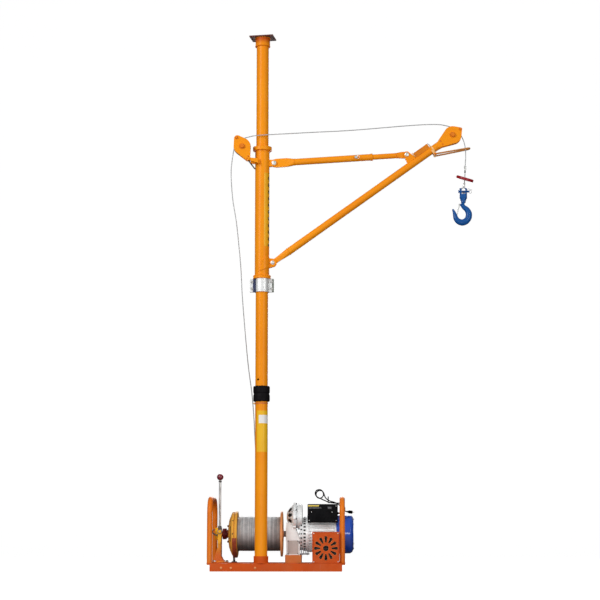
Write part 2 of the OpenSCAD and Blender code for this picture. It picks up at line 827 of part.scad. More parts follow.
module rope_drop() {
  p = smooth(drop_pts, 4);
  color("lightgray") bar(p, [for (i = p) rope_d/2], 10, [0, 1, 0]);
}

top_pts = [
  for (a = [175:-25:100]) [rear_x + rope_r*cos(a), rear_y, rear_z + rope_r*sin(a)],
  [rear_x + 26, rear_y + 1, rear_z + 58], [-43, -52, 2655], [37, -49, 2661], [300, -37, 2677],
  [560, -26, 2692], [920, -10, 2724], [1074, -4, 2731], [1140, -1, 2723],
  for (a = [85:-20:25]) [head_x + rope_r*cos(a), 0, head_z + rope_r*sin(a)]];

module rope_top() {
  p = smooth(top_pts, 3);
  color("lightgray") bar(p, [for (i = p) rope_d/2], 10, [0, 1, 0]);
}

fall_pts = [[head_x + rope_r*cos(20) + 1, 0, head_z + rope_r*sin(20) - 3], [1234, 0, 2654],
  [1247, 0, 2622], [1255, 0, 2581], [1257, 0, 2530], [1253, 0, 2467], [1250, 0, 2400],
  [1246, 0, 2356], [1243.2, 0, 2334.5]];

module rope_fall() {
  p = smooth(fall_pts, 4);
  color("lightgray") bar(p, [for (i = p) rope_d/2], 10, [0, 1, 0]);
}

module along(a, b, d) {
  bar([a, b], [d/2, d/2], 24, [0, 1, 0]);
}

module rope_ferrules() {
  color("silver") difference() {
    union() {
      along([1252.6, 0, 2467], [1251.6, 0, 2440], 13);
      along([1251.4, 0, 2434], [1251, 0, 2424], 9);
      along([1245.4, 0, 2358], [1243.2, 0, 2334.2], 13);
      translate([1241, 0, 2312.4]) rotate([0, 90, 0]) rotate_extrude() translate([17, 0]) circle(d = 9);
    }
    rope_core();
  }
}

module rope_core() {
  p = smooth(fall_pts, 4);
  bar(p, [for (i = p) rope_d/2], 10, [0, 1, 0]);
}

module stop_disc() {
  color("red") difference() {
    translate([1249, 0, 2386]) rotate([disc_lean, disc_tilt, 0]) translate([0, 0, -disc_t/2])
      cylinder(d = disc_d, h = disc_t);
    rope_core();
  }
}

module hook_shackle() {
  color("blue") translate([1238, 0, 0]) {
    difference() {
      union() {
        translate([0, 0, 2250]) cylinder(d1 = 36, d2 = 44, h = 26);
        intersection() {
          translate([-23, -21, 2262]) cube([46, 42, 62]);
          translate([0, 0, 2250]) cylinder(d = 48, h = 80);
        }
      }
      translate([-11, -40, 2287]) cube([22, 80, 60]);
    }
    translate([-28, 0, 2306]) rotate([0, 90, 0]) cylinder(d = 12, h = 60);
    translate([0, 0, 2238]) difference() {
      cylinder(d = 30, h = 12);
      translate([0, 0, -1]) cylinder(d = 20, h = 20);
    }
  }
}

hook_pts = [[1238, 0, 2249], [1238, 0, 2236], [1233, 0, 2222], [1241, 0, 2208], [1258, 0, 2193],
  [1270, 0, 2170], [1268, 0, 2142], [1252, 0, 2120], [1230, 0, 2112], [1208, 0, 2118],
  [1192, 0, 2136], [1186, 0, 2158], [1180, 0, 2178], [1173, 0, 2194]];
hook_rs = [8.5, 8.5, 13, 14, 17, 19.5, 20, 20, 20, 18.5, 16, 13, 9, 5];

module hook() {
  p = smooth(hook_pts, 3);
  r = [for (i = [0:len(hook_pts) - 2]) for (j = [0:2])
    (hook_rs[i]*(3 - j) + hook_rs[i + 1]*j)/3, hook_rs[len(hook_rs) - 1]];
  color("blue") {
    bar(p, r*hook_t/40, 20, [0, 1, 0]);
    slab(-3, 6) difference() {
      union() {
        translate([latch_x, latch_z]) circle(r = 6);
        polygon([[latch_x - 2, latch_z - 6], [latch_x - 1, latch_z + 6], [latch_x + 16, latch_z + 6],
          [latch_x + 16, latch_z - 6]]);
      }
      translate([latch_x, latch_z]) circle(d = latch_pin + 2*pin_c);
    }
  }
}

module hook_latch() {
  color("silver") {
    difference() {
      for (y = [-6, 4]) slab(y, 2) polygon([[latch_x - 5, latch_z + 4], [latch_x + 3, latch_z + 5],
        [latch_x + 5, latch_z - 3], [latch_x - 3, latch_z - 24], [latch_x - 8, latch_z - 22]]);
      translate([latch_x, 0, latch_z]) cross_pin(latch_pin, -8, 8);
    }
    translate([latch_x, 0, latch_z]) cross_pin(latch_pin, -7, 7);
    slab(-6, 12) polygon([[latch_x - 8, latch_z - 22], [latch_x - 3, latch_z - 22],
      [latch_x - 11, latch_z - 60], [latch_x - 14.5, latch_z - 59]]);
  }
}

// ---- lead ----

lead_pts = [[468, 112, 345], [483, 112, 347], [496, 113, 356], [502, 115, 372], [497, 117, 389],
  [484, 118, 401], [467, 119, 406], [448, 118, 406], [409, 116, 410], [391, 114, 417], [355, 112, 433],
  [338, 111, 441], [326, 110, 453], [323, 109, 469], [331, 108, 482], [346, 107, 487], [361, 106, 483],
  [371, 105, 469], [372, 104, 452], [362, 103, 439], [347, 102, 435], [333, 101, 443], [328, 99, 458],
  [333, 98, 473], [347, 97, 481], [363, 97, 479], [374, 97, 467], [379, 98, 451], [386, 100, 437],
  [398, 102, 426], [412, 101, 418], [426, 93, 414], [437, 81, 411], [448, 69, 406], [459, 61, 400],
  [470, 60, 392], [480, 67, 385], [486, 80, 379], [488, 95, 374], [488, 109, 369], [491, 122, 364],
  [497, 133, 361], [506, 141, 358], [516, 148, 355]];

module lead_cord() {
  p = smooth(lead_pts, 2);
  color("black") bar(p, [for (i = p) lead_d/2], 8, [0, 1, 0.2]);
}

module lead_tie() {
  color("black") translate([398, 96.5, 406]) difference() {
    cube([7, 24, 30]);
    translate([-1, 1.5, 1.5]) cube([9, 21, 27]);
  }
}

module lead_plug() {
  end = lead_pts[len(lead_pts) - 1];
  color("black") along(end, end + [30, 18, -3], 20);
}

module lead_gland() {
  color("black") translate([box_x0 + box_w, 112, 345]) rotate([0, 90, 0]) cylinder(d = 16, h = 9);
}

front_rail();
rear_rail();
cross_rails();
left_hoop();
right_hoop();
mast_socket();
lower_mast();
upper_mast();
mast_coupling();
ceiling_collar();
ceiling_plate();
height_clamp();
drum_pedestal();
gearbox_foot();
gearbox_column();
gearbox_case();
gearbox_cover();
motor_body();
motor_shield();
fan_cover();
control_box();
vent_box();
vent_cover();
rope_drop();
lead_cord();
lead_tie();
lead_plug();
lead_gland();
lever_arm();
lever_knob();
drum_barrel();
brake_wheel();
rope_pack();
slew_sleeve();
boom_lug();
tie_lug();
rear_bracket();
rear_cheeks();
rear_axle();
rear_sheave();
boom_tube();
boom_tie_lug();
head_cheeks();
head_axle();
head_sheave();
limit_switch();
limit_band();
limit_arm();
rope_top();
tie_outer();
tie_inner();
rope_fall();
rope_ferrules();
stop_disc();
hook_shackle();
hook();
hook_latch();
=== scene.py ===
"""Looks of the portable mini crane: paint, wire rope, welds, bolts and small fittings on its frame."""

import json
import math

import bmesh
import bpy
from mathutils import Matrix, Vector

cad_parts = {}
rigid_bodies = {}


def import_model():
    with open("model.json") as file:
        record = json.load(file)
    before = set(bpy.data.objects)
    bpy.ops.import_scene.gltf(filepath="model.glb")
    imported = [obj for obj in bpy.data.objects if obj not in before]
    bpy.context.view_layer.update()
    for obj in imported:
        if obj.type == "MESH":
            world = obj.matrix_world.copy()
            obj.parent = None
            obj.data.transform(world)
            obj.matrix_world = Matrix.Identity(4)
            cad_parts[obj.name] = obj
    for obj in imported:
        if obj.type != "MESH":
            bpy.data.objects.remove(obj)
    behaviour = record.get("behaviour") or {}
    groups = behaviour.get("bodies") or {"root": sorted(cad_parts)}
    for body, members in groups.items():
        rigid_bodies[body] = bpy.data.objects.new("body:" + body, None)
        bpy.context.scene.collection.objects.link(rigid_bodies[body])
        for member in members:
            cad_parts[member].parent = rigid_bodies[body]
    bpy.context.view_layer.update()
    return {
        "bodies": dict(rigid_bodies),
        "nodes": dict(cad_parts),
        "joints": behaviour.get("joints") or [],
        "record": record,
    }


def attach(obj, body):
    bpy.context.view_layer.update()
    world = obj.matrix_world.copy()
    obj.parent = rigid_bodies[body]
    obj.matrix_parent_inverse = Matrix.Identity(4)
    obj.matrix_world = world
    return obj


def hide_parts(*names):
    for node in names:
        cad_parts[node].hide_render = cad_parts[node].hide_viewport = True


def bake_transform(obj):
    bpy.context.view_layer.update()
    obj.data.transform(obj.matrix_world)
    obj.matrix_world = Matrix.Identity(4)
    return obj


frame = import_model()
scene = bpy.context.scene
pivot = {j["name"]: Vector(j["pos_m"]) for j in frame["joints"] if "pos_m" in j}
X, Y, Z = Vector((1, 0, 0)), Vector((0, 1, 0)), Vector((0, 0, 1))
MM = 0.001
IDENTITY = Matrix.Identity(4)
LOOSE = 0.00001  # vertices nearer than this, in metres, are one

# Sizes of the crane, in millimetres.
SHAFT_Y, SHAFT_Z = 205, 222
COVER_Y, COVER_Z = 185, 326
MAST_R, SLEEVE_R = 38, 44.5
ROPE_R, SHEAVE_R = 3, 48


# ---- camera, floor and light ----

def add_camera():
    data = bpy.data.cameras.new("camera")
    data.lens = 94.379
    data.sensor_width = 36
    camera = bpy.data.objects.new("camera", data)
    camera.location = (0.485, -9.5, 0.2)
    look = Vector((0.23324, 0, 1.63479)) - camera.location
    camera.rotation_euler = look.to_track_quat("-Z", "Y").to_euler()
    scene.collection.objects.link(camera)
    scene.camera = camera


def add_light(name, place, aim, size, power):
    data = bpy.data.lights.new(name, "AREA")
    data.shape = "RECTANGLE"
    data.size, data.size_y = size
    data.energy = power
    lamp = bpy.data.objects.new(name, data)
    lamp.location = place
    lamp.rotation_euler = (Vector(aim) - lamp.location).to_track_quat("-Z", "Y").to_euler()
    scene.collection.objects.link(lamp)


def add_studio():
    """White to the camera; to the metal a pale front, a grey sky and a dark room behind and beside it."""
    world = bpy.data.worlds.new("studio")
    world.use_nodes = True
    m = Mixer(world.node_tree)
    way = m.node("ShaderNodeTexCoord", {}, {}, "Generated")
    ahead = (m.node("ShaderNodeSeparateXYZ", {}, [way], "Y") * -1).at_least(0)
    above = m.node("ShaderNodeSeparateXYZ", {}, [way], "Z").at_least(0)
    seen = m.node("ShaderNodeLightPath", {}, {}, "Is Camera Ray")
    room = ahead * 0.42 + above * 0.32 + 0.05
    sky = world.node_tree.nodes["Background"].inputs
    m.feed(sky["Strength"], room * (1 - seen) + seen)
    m.feed(sky["Color"], (1.0, 1.0, 1.0))
    scene.world = world
    scene.view_settings.view_transform = "Standard"
    add_light("key", (-3.9, -5.0, 4.4), (0.2, 0, 1.6), (2.2, 4.6), 226)
    add_light("fill", (4.2, -4.6, 2.4), (0.3, 0, 1.4), (1.6, 3.6), 76)
    add_light("low", (0.4, -5.0, 0.5), (0.1, 0, 0.3), (2.0, 0.8), 30)
    add_light("back", (0.3, 5.6, 3.2), (0.3, 0, 1.5), (3.0, 4.0), 110)


# ---- shader values ----

class Shade:
    """A value in a tree of nodes. Arithmetic on it adds the nodes that work it out."""

    def __init__(self, mixer, socket):
        self.mixer = mixer
        self.socket = socket

    def sum(self, operation, *values):
        return self.mixer.node("ShaderNodeMath", {"operation": operation}, values)

    def __add__(self, other):
        return self.sum("ADD", self, other)

    def __sub__(self, other):
        return self.sum("SUBTRACT", self, other)

    def __rsub__(self, other):
        return self.sum("SUBTRACT", other, self)

    def __mul__(self, other):
        return self.sum("MULTIPLY", self, other)

    def __truediv__(self, other):
        return self.sum("DIVIDE", self, other)

    __radd__ = __add__
    __rmul__ = __mul__

    def at_least(self, floor):
        return self.sum("MAXIMUM", self, floor)

    def step(self, low, high):
        """0 below low, 1 above high, and a smooth rise between them."""
        return self.mixer.node("ShaderNodeMapRange", {"interpolation_type": "SMOOTHSTEP"},
                               {"Value": self, "From Min": low, "From Max": high})


class Mixer:
    """Adds nodes to a tree, each in one way."""

    def __init__(self, tree):
        self.tree = tree

    def feed(self, socket, value):
        if isinstance(value, Shade):
            self.tree.links.new(value.socket, socket)
        elif isinstance(value, tuple) and len(value) == 3 and socket.type == "RGBA":
            socket.default_value = (*value, 1)
        else:
            socket.default_value = value

    def node(self, kind, settings, values, out=0):
        """Any node: its settings go in first, then the values or links of its sockets."""
        made = self.tree.nodes.new(kind)
        for key, value in settings.items():
            setattr(made, key, value)
        for key, value in values.items() if isinstance(values, dict) else enumerate(values):
            self.feed(made.inputs[key], value)
        return Shade(self, made.outputs[out])


class Finish(Mixer):
    """A material being mixed. Fixed values go straight on the surface shader."""

    def __init__(self, name, **fixed):
        self.material = bpy.data.materials.new(name)
        self.material.use_nodes = True
        super().__init__(self.material.node_tree)
        self.surface = self.tree.nodes["Principled BSDF"]
        for label, value in fixed.items():
            self.surface.inputs[label.replace("_", " ")].default_value = value
        self.place = self.node("ShaderNodeTexCoord", {}, {}, "Object")

    def noise(self, scale, detail=2, rough=0.5, place=None):
        return self.node("ShaderNodeTexNoise", {}, {
            "Vector": place or self.place, "Scale": scale, "Detail": detail, "Roughness": rough})

    def stretched(self, x, y, z):
        """The piece's own coordinates, scaled along each axis."""
        return self.node("ShaderNodeMapping", {}, {"Vector": self.place, "Scale": (x, y, z)})

    def mix(self, share, first, second):
        """A colour between first and second."""
        return self.node("ShaderNodeMix", {"data_type": "RGBA"}, {0: share, 6: first, 7: second}, 2)

    def axis(self, name):
        return self.node("ShaderNodeSeparateXYZ", {}, {"Vector": self.place}, name)

    def done(self, colour, roughness, bump=None, height=0.001):
        """Hooks up what changes over the surface, with bump as the height of its relief."""
        self.feed(self.surface.inputs["Base Color"], colour)
        self.feed(self.surface.inputs["Roughness"], roughness)
        if bump is not None:
            relief = self.node("ShaderNodeBump", {}, {"Strength": 1.0, "Distance": height, "Height": bump})
            self.feed(self.surface.inputs["Normal"], relief)
        return self.material


# ---- finishes ----

def enamel(name, light, deep, primer, wear=0.5, gloss=0.26, coat=0.05, lower=None, polish=0.24):
    """Sprayed enamel: soft mottling, fine orange peel, rubbed streaks, chips and a little dust.

    lower is another paint's colour below a height, the heights where it starts and ends to fade,
    and the axis when it isn't Z.
    """
    f = Finish(name, Coat_Weight=coat, Coat_Roughness=polish, Specular_IOR_Level=0.13)
    cloud = f.noise(2.6, 3).step(0.3, 0.7)
    mottle = f.noise(34, 4, 0.6).step(0.35, 0.75)
    peel = f.noise(420, 2)
    streak = f.noise(1, 5, 0.65, f.stretched(55, 55, 9)).step(0.6, 0.78)
    patch = f.noise(5, 2).step(0.5, 0.72)
    rub = streak * patch * wear
    chip = f.noise(130, 3, 0.6).step(0.735 - 0.03 * wear, 0.76 - 0.03 * wear)
    low = 1 - f.axis("Z").step(0.02, 0.5)
    dust = low * f.noise(9, 4, 0.6).step(0.45, 0.8) * 0.12
    paint = f.mix(cloud * 0.6 + mottle * 0.18, light, deep)
    if lower:
        colour, first, last, *way = lower
        paint = f.mix(f.axis(*way or "Z").step(first, last), colour, paint)
    worn = f.mix(rub * 0.3, paint, tuple(0.55 * c + 0.42 for c in light))
    dusty = f.mix(dust, worn, (0.42, 0.26, 0.13))
    colour = f.mix(chip, dusty, primer)
    rough = mottle * 0.1 + rub * 0.25 + chip * 0.3 + dust * 0.5 + gloss
    relief = peel * 0.02 + mottle * 0.03 - chip * 0.9
    return f.done(colour, rough, relief, 0.00035)


def plated(name, light, dark, rough=0.3, brushed=(20, 20, 260), metal=1.0, painted_bands=()):
    """Zinc plate or bright steel: a fine grain, cloudy tarnish and small dark specks.

    The bands are darker stretches along X, painted reflection and painted shade: where each starts, where it
    ends and its colour.
    """
    f = Finish(name, Metallic=metal)
    grain = f.noise(1, 4, 0.7, f.stretched(*brushed))
    cloud = f.noise(24, 4, 0.6).step(0.35, 0.7)
    speck = f.noise(260, 3).step(0.68, 0.74)
    colour = f.mix(cloud * 0.45 + grain * 0.2, light, dark)
    colour = f.mix(speck * 0.5, colour, (0.16, 0.13, 0.11))
    # Each band paints a darker stretch along X, as painted reflection and painted shade.
    for first, last, tone in painted_bands:
        inside = f.axis("X").step(first, first + 0.002) * (1 - f.axis("X").step(last, last + 0.002))
        colour = f.mix(inside, colour, tone)
    return f.done(colour, grain * 0.18 + cloud * 0.14 + speck * 0.2 + rough, grain * 0.5 - speck, 0.0002)


def cast(name, light, dark, rough=0.42, metal=0.55):
    """Sand-cast alloy with silver paint: grainy skin, soft pits, a cloudy tone and dark oil patches low down.
    """
    f = Finish(name, Metallic=metal)
    skin = f.noise(300, 4, 0.65)
    pit = f.node("ShaderNodeTexVoronoi", {}, {"Vector": f.place, "Scale": 190.0}, "Distance").step(0.05, 0.5)
    cloud = f.noise(15, 5, 0.6).step(0.35, 0.75)
    oil = f.noise(6, 3).step(0.6, 0.8) * (1 - f.axis("Z").step(0.1, 0.36))
    colour = f.mix(cloud * 0.55, light, dark)
    colour = f.mix(oil * 0.3, colour, (0.2, 0.16, 0.13))
    return f.done(colour, skin * 0.2 + rough - oil * 0.18, skin * 0.6 + pit * 0.5, 0.0006)


def wire(name, light, dark):
    """Galvanised wire strands: a cloudy tone and a fine grain."""
    f = Finish(name, Metallic=0.45)
    cloud = f.noise(40, 4, 0.6).step(0.3, 0.7)
    fine = f.noise(900, 2)
    colour = f.mix(cloud * 0.6 + fine * 0.25, light, dark)
    return f.done(colour, cloud * 0.2 + fine * 0.1 + 0.34, fine, 0.00015)


def wound_wire(name, light, dark, strands, pitch):
    """Wire rope on the drum, its lay drawn from the rope's own attribute, with painted shade in the hollows
    between strands and on the underside of the pack.
    """
    f = Finish(name, Metallic=0.2)
    lay = f.node("ShaderNodeAttribute", {"attribute_name": "lay"}, {}, "Vector")
    parts = [f.node("ShaderNodeSeparateXYZ", {}, {"Vector": lay}, axis) for axis in "XYZ"]
    turn = parts[0].sum("ARCTAN2", parts[1], parts[0])
    twist = turn * strands + parts[2] * (strands * math.tau / pitch)
    crown = twist.sum("SINE", twist) * 0.5 + 0.5
    cloud = f.noise(30, 4, 0.6).step(0.3, 0.7)
    turns = f.noise(1, 3, 0.7, f.stretched(150, 1.5, 1.5)).step(0.36, 0.62)
    # Darker in the hollows between strands, where crown is low: painted shade.
    colour = f.mix(cloud * 0.25 + (1 - crown) * 0.3 + turns * 0.45, light, dark)
    # Darker towards the bottom of the pack, on the drum's underside: painted shade.
    underside_shade = 1 - f.axis("Z").step(0.105, 0.25)
    colour = f.mix(underside_shade * 0.85, colour, (0.05, 0.035, 0.025))
    return f.done(colour, cloud * 0.15 + 0.36, crown, 0.0006)


def moulded(name, light, dark, rough=0.45, grain=520, relief=0.0002, dust=0.08, shine=0.25, coat=0.0):
    """Moulded plastic or rubber: a fine spark-eroded grain, finger marks and pale dust."""
    f = Finish(name, Specular_IOR_Level=shine, Coat_Weight=coat, Coat_Roughness=0.06)
    skin = f.noise(grain, 3, 0.6)
    mark = f.noise(22, 4, 0.6).step(0.4, 0.75)
    pale = f.noise(90, 5, 0.7).step(0.6, 0.85)
    colour = f.mix(mark * 0.6, light, dark)
    colour = f.mix(pale * dust, colour, (0.5, 0.47, 0.42))
    return f.done(colour, skin * 0.12 + mark * 0.14 + pale * 0.15 + rough, skin, relief)


def vinyl(name, ground, edge, panel=None, stripes=None):
    """A printed sticker on the mast. panel is its white block's heights, stripes its band of slanted bars."""
    f = Finish(name, Coat_Weight=0.1, Coat_Roughness=0.2, Specular_IOR_Level=0.2)
    crease = f.noise(1, 3, 0.6, f.stretched(30, 30, 110))
    fade = f.noise(8, 4, 0.6).step(0.3, 0.75)
    colour = f.mix(fade * 0.5, ground, edge)
    across, up = f.axis("X"), f.axis("Z")
    if panel:
        low, high, left = panel
        inside = up.step(low, low + 0.001) * (1 - up.step(high, high + 0.001))
        inside = inside * across.step(left, left + 0.001)
        colour = f.mix(inside, colour, (0.86, 0.84, 0.82))
    if stripes:
        left, pitch = stripes
        slant = (up + across * 0.9) / pitch
        bar = slant.sum("FRACT", slant).step(0.5, 0.53) * across.step(left, left + 0.001)
        colour = f.mix(bar * 0.85, colour, (0.07, 0.045, 0.01))
    return f.done(colour, fade * 0.1 + 0.3, crease, 0.0001)


ORANGE = enamel("orange_enamel", (0.98, 0.335, 0.006), (0.88, 0.245, 0.004), (0.30, 0.10, 0.03), 0.4, 0.3)
RED_ORANGE = enamel("red_orange_enamel", (0.68, 0.095, 0.006), (0.50, 0.055, 0.004), (0.2, 0.06, 0.03), 0.6,
                    0.4, 0.0)
YELLOW = enamel("yellow_enamel", (1.0, 0.50, 0.010), (0.86, 0.33, 0.006), (0.16, 0.07, 0.03), 0.9, 0.22, 0.3)
PEDESTAL = enamel("pedestal_enamel", (1.0, 0.50, 0.010), (0.80, 0.31, 0.006), (0.16, 0.07, 0.03), 0.9,
                  0.24, 0.2, ((0.68, 0.13, 0.008), 0.085, 0.20))
BLUE = enamel("fan_blue_enamel", (0.006, 0.075, 0.52), (0.003, 0.035, 0.30), (0.05, 0.06, 0.08), 0.6, 0.12,
              1.0, polish=0.07)
HOOK_BLUE = enamel("hook_enamel", (0.006, 0.10, 0.36), (0.003, 0.05, 0.21), (0.03, 0.05, 0.07), 0.9, 0.2, 0.3)
DARK_RED = enamel("dark_red_enamel", (0.36, 0.010, 0.018), (0.20, 0.005, 0.010), (0.10, 0.02, 0.02), 0.7,
                  0.26, 0.3)
HUB_RED = enamel("hub_enamel", (0.15, 0.012, 0.012), (0.07, 0.006, 0.006), (0.04, 0.02, 0.02), 0.9, 0.3)
MAROON = moulded("maroon_ball", (0.20, 0.006, 0.022), (0.09, 0.002, 0.01), 0.1, 260, 0.00003, 0.05, 0.4, 1.0)
ZINC = plated("zinc_plate", (0.82, 0.83, 0.80), (0.55, 0.56, 0.56), 0.26)
STEEL = plated("bright_steel", (0.66, 0.65, 0.63), (0.42, 0.41, 0.40), 0.24, (260, 260, 12))
# Its bands are a painted blue reflection on the left ear and painted shade on the right ear.
CLAMP_ZINC = plated("clamp_zinc", (0.90, 0.91, 0.90), (0.66, 0.67, 0.68), 0.3, metal=0.5,
                    painted_bands=((-0.056, -0.036, (0.06, 0.075, 0.16)), (0.061, 0.1, (0.20, 0.22, 0.19))))
DARK_STEEL = plated("dark_steel", (0.16, 0.15, 0.15), (0.07, 0.065, 0.06), 0.42)
ROPE = wire("wire_rope", (0.60, 0.61, 0.62), (0.33, 0.335, 0.34))
CAST = cast("rough_alloy", (0.96, 0.98, 0.98), (0.60, 0.62, 0.63), 0.34, 0.3)
FINNED = cast("finned_alloy", (0.98, 1.0, 1.0), (0.84, 0.88, 0.91), 0.26, 0.12)
PLASTIC = moulded("box_plastic", (0.004, 0.004, 0.005), (0.0015, 0.0015, 0.002), 0.34, dust=0.01, shine=0.05)
RUBBER = moulded("rubber_skin", (0.006, 0.005, 0.006), (0.003, 0.003, 0.003), 0.42, 800, 0.0003, 0.015, 0.08)
WOUND = wound_wire("wound_rope", (1.0, 1.0, 1.0), (0.34, 0.36, 0.38), 6.0, 0.034)
HOOP_ORANGE = enamel("hoop_enamel", (0.86, 0.215, 0.012), (0.68, 0.12, 0.008), (0.26, 0.09, 0.03), 0.8, 0.24)
FOOT_ORANGE = enamel("foot_enamel", (0.76, 0.22, 0.045), (0.62, 0.14, 0.025), (0.3, 0.12, 0.06), 0.8, 0.34)
SWITCH_ORANGE = enamel("switch_enamel", (0.82, 0.26, 0.012), (0.62, 0.17, 0.01), (0.25, 0.1, 0.03), 0.6, 0.3)
ARM_ORANGE = enamel("arm_enamel", (0.62, 0.25, 0.05), (0.38, 0.13, 0.025), (0.14, 0.07, 0.04), 0.9, 0.24, 0.3)
CREAM = enamel("cream_enamel", (0.96, 0.62, 0.26), (0.86, 0.40, 0.12), (0.3, 0.15, 0.07), 0.8, 0.24)
NUT_ORANGE = enamel("nut_enamel", (0.84, 0.23, 0.01), (0.62, 0.13, 0.006), (0.2, 0.07, 0.03), 0.7, 0.22, 0.3)
# A paler orange; on the vent's slot lips its paleness is a painted highlight.
LIP_ORANGE = enamel("lip_enamel", (0.90, 0.40, 0.16), (0.74, 0.22, 0.06), (0.3, 0.12, 0.06), 0.8, 0.24)
BRAKE_RED = enamel("brake_enamel", (0.36, 0.07, 0.03), (0.20, 0.035, 0.02), (0.07, 0.03, 0.02), 1.0, 0.34)
BRASS = plated("brass", (0.80, 0.50, 0.22), (0.5, 0.28, 0.12), 0.24)
# A dark grey copy of the cast alloy: painted shade under the motor.
SHADED_CAST = cast("dark_cast", (0.34, 0.34, 0.36), (0.14, 0.14, 0.15), 0.45)
# A darker taupe for the gearbox's recessed front panel: painted shade.
SHADED_PANEL = cast("panel_alloy", (0.66, 0.59, 0.55), (0.48, 0.43, 0.40), 0.5, 0.1)
COLUMN = cast("column_alloy", (1.0, 1.0, 0.99), (0.84, 0.83, 0.82), 0.4, 0.1)
# The drum barrel: orange up to the right flange, and dark grey beyond it on the flange's outer face as
# painted shade.
SHADED_FLANGE = enamel("flange_enamel", (0.30, 0.30, 0.31), (0.18, 0.18, 0.19), (0.1, 0.08, 0.07), 0.8, 0.34, 0.0,
                ((0.95, 0.42, 0.10), 0.1232, 0.1236, "X"))
WHEEL = enamel("wheel_enamel", (0.86, 0.43, 0.055), (0.62, 0.27, 0.035), (0.14, 0.07, 0.04), 1.0, 0.34, 0.1)
TOP_PLATE = enamel("top_plate_primer", (0.17, 0.045, 0.03), (0.09, 0.028, 0.024), (0.05, 0.02, 0.02), 0.8,
                   0.5, 0.0)
TOP_COLLAR = enamel("top_collar_enamel", (0.60, 0.095, 0.008), (0.5, 0.07, 0.006), (0.2, 0.06, 0.03), 0.5,
                    0.34, 0.0, ((0.90, 0.275, 0.006), 3.245, 3.285))
PLATE = moulded("bare_plate", (0.05, 0.05, 0.052), (0.03, 0.03, 0.031), 0.16, 300, 0.00005)
GREY_PLASTIC = moulded("grey_plastic", (0.13, 0.13, 0.14), (0.07, 0.07, 0.08), 0.34)
STRIP_YELLOW = vinyl("strip_vinyl", (0.80, 0.62, 0.10), (0.62, 0.44, 0.05))
MAST_LABEL = vinyl("mast_vinyl", (0.92, 0.52, 0.015), (0.84, 0.42, 0.02), panel=(0.880, 0.930, -0.015))
SLEEVE_LABEL = vinyl("sleeve_vinyl", (0.93, 0.46, 0.012), (0.86, 0.38, 0.012), stripes=(0.036, 0.042))
# Near black, for the insides of holes, slots and openings: painted shade.
HOLLOW_SHADE = moulded("dark_inside", (0.02, 0.014, 0.012), (0.007, 0.005, 0.005), 0.7)


# ---- shapes in code ----

def mm(x, y, z):
    """A place or a distance given in millimetres."""
    return Vector((x, y, z)) * MM


def facing(origin, z=Z, x=X):
    """A frame at origin whose Z points along z, and X as near to x as it can."""
    up = Vector(z).normalized()
    side = Vector(x)
    side = (side - up * side.dot(up)).normalized()
    turned_axes = Matrix((side, up.cross(side), up)).transposed().to_4x4()
    return Matrix.Translation(origin) @ turned_axes


def upwards(x, y, z):
    """A frame at a place in millimetres that points up."""
    return facing(mm(x, y, z), Z, X)


def front(x, y, z):
    """A frame there that points to the front."""
    return facing(mm(x, y, z), -Y, X)


def back(x, y, z):
    """A frame there that points to the back."""
    return facing(mm(x, y, z), Y, X)


def on_shaft(x, way=1):
    """A frame on the drum's axis at x, its Z along +X, or along -X when way is -1."""
    return facing(mm(x, SHAFT_Y, SHAFT_Z), X * way, Y)


def shifted(frame, x, y, z):
    return frame @ Matrix.Translation(mm(x, y, z))


def turned(frame, degrees, axis="Z"):
    return frame @ Matrix.Rotation(math.radians(degrees), 4, axis)


def arc(cx, cy, r, first, last, steps):
    """Points on an arc, its angles in degrees."""
    angles = [math.radians(first + (last - first) * i / steps) for i in range(steps + 1)]
    return [(cx + r * math.cos(a), cy + r * math.sin(a)) for a in angles]


def circle(r, count, x=0, y=0):
    """Points round a whole circle, the last one left out."""
    return arc(x, y, r, 0, 360 - 360 / count, count - 1)


def level_ring(z, r, x=0, y=0):
    """A closed line round a circle that lies level."""
    return [(a, b, z) for a, b in circle(r, 48, x, y)]


def upright_ring(x, r, count, y=0, z=0):
    """A closed line round a circle across the X axis."""
    return [(x, a, b) for a, b in circle(r, count, y, z)]


def smooth(points, k):
    """A smooth line through the points, with k steps between each pair."""
    last = len(points) - 1
    line = []
    for i in range(last):
        a, b, c, d = (Vector(points[min(max(n, 0), last)]) for n in range(i - 1, i + 3))
        for t in (j / k for j in range(k)):
            line.append(0.5 * (2 * b + (c - a) * t + (2 * a - 5 * b + 4 * c - d) * t * t
                               + (3 * b - a - 3 * c + d) * t ** 3))
    return line + [Vector(points[last])]


def ease(point, middle, bevel):
    """A corner of an outline drawn in towards its middle by about the bevel."""
    away = Vector(point) - middle
    return tuple(middle + Vector([c - math.copysign(min(bevel, abs(c)), c) if c else 0 for c in away]))


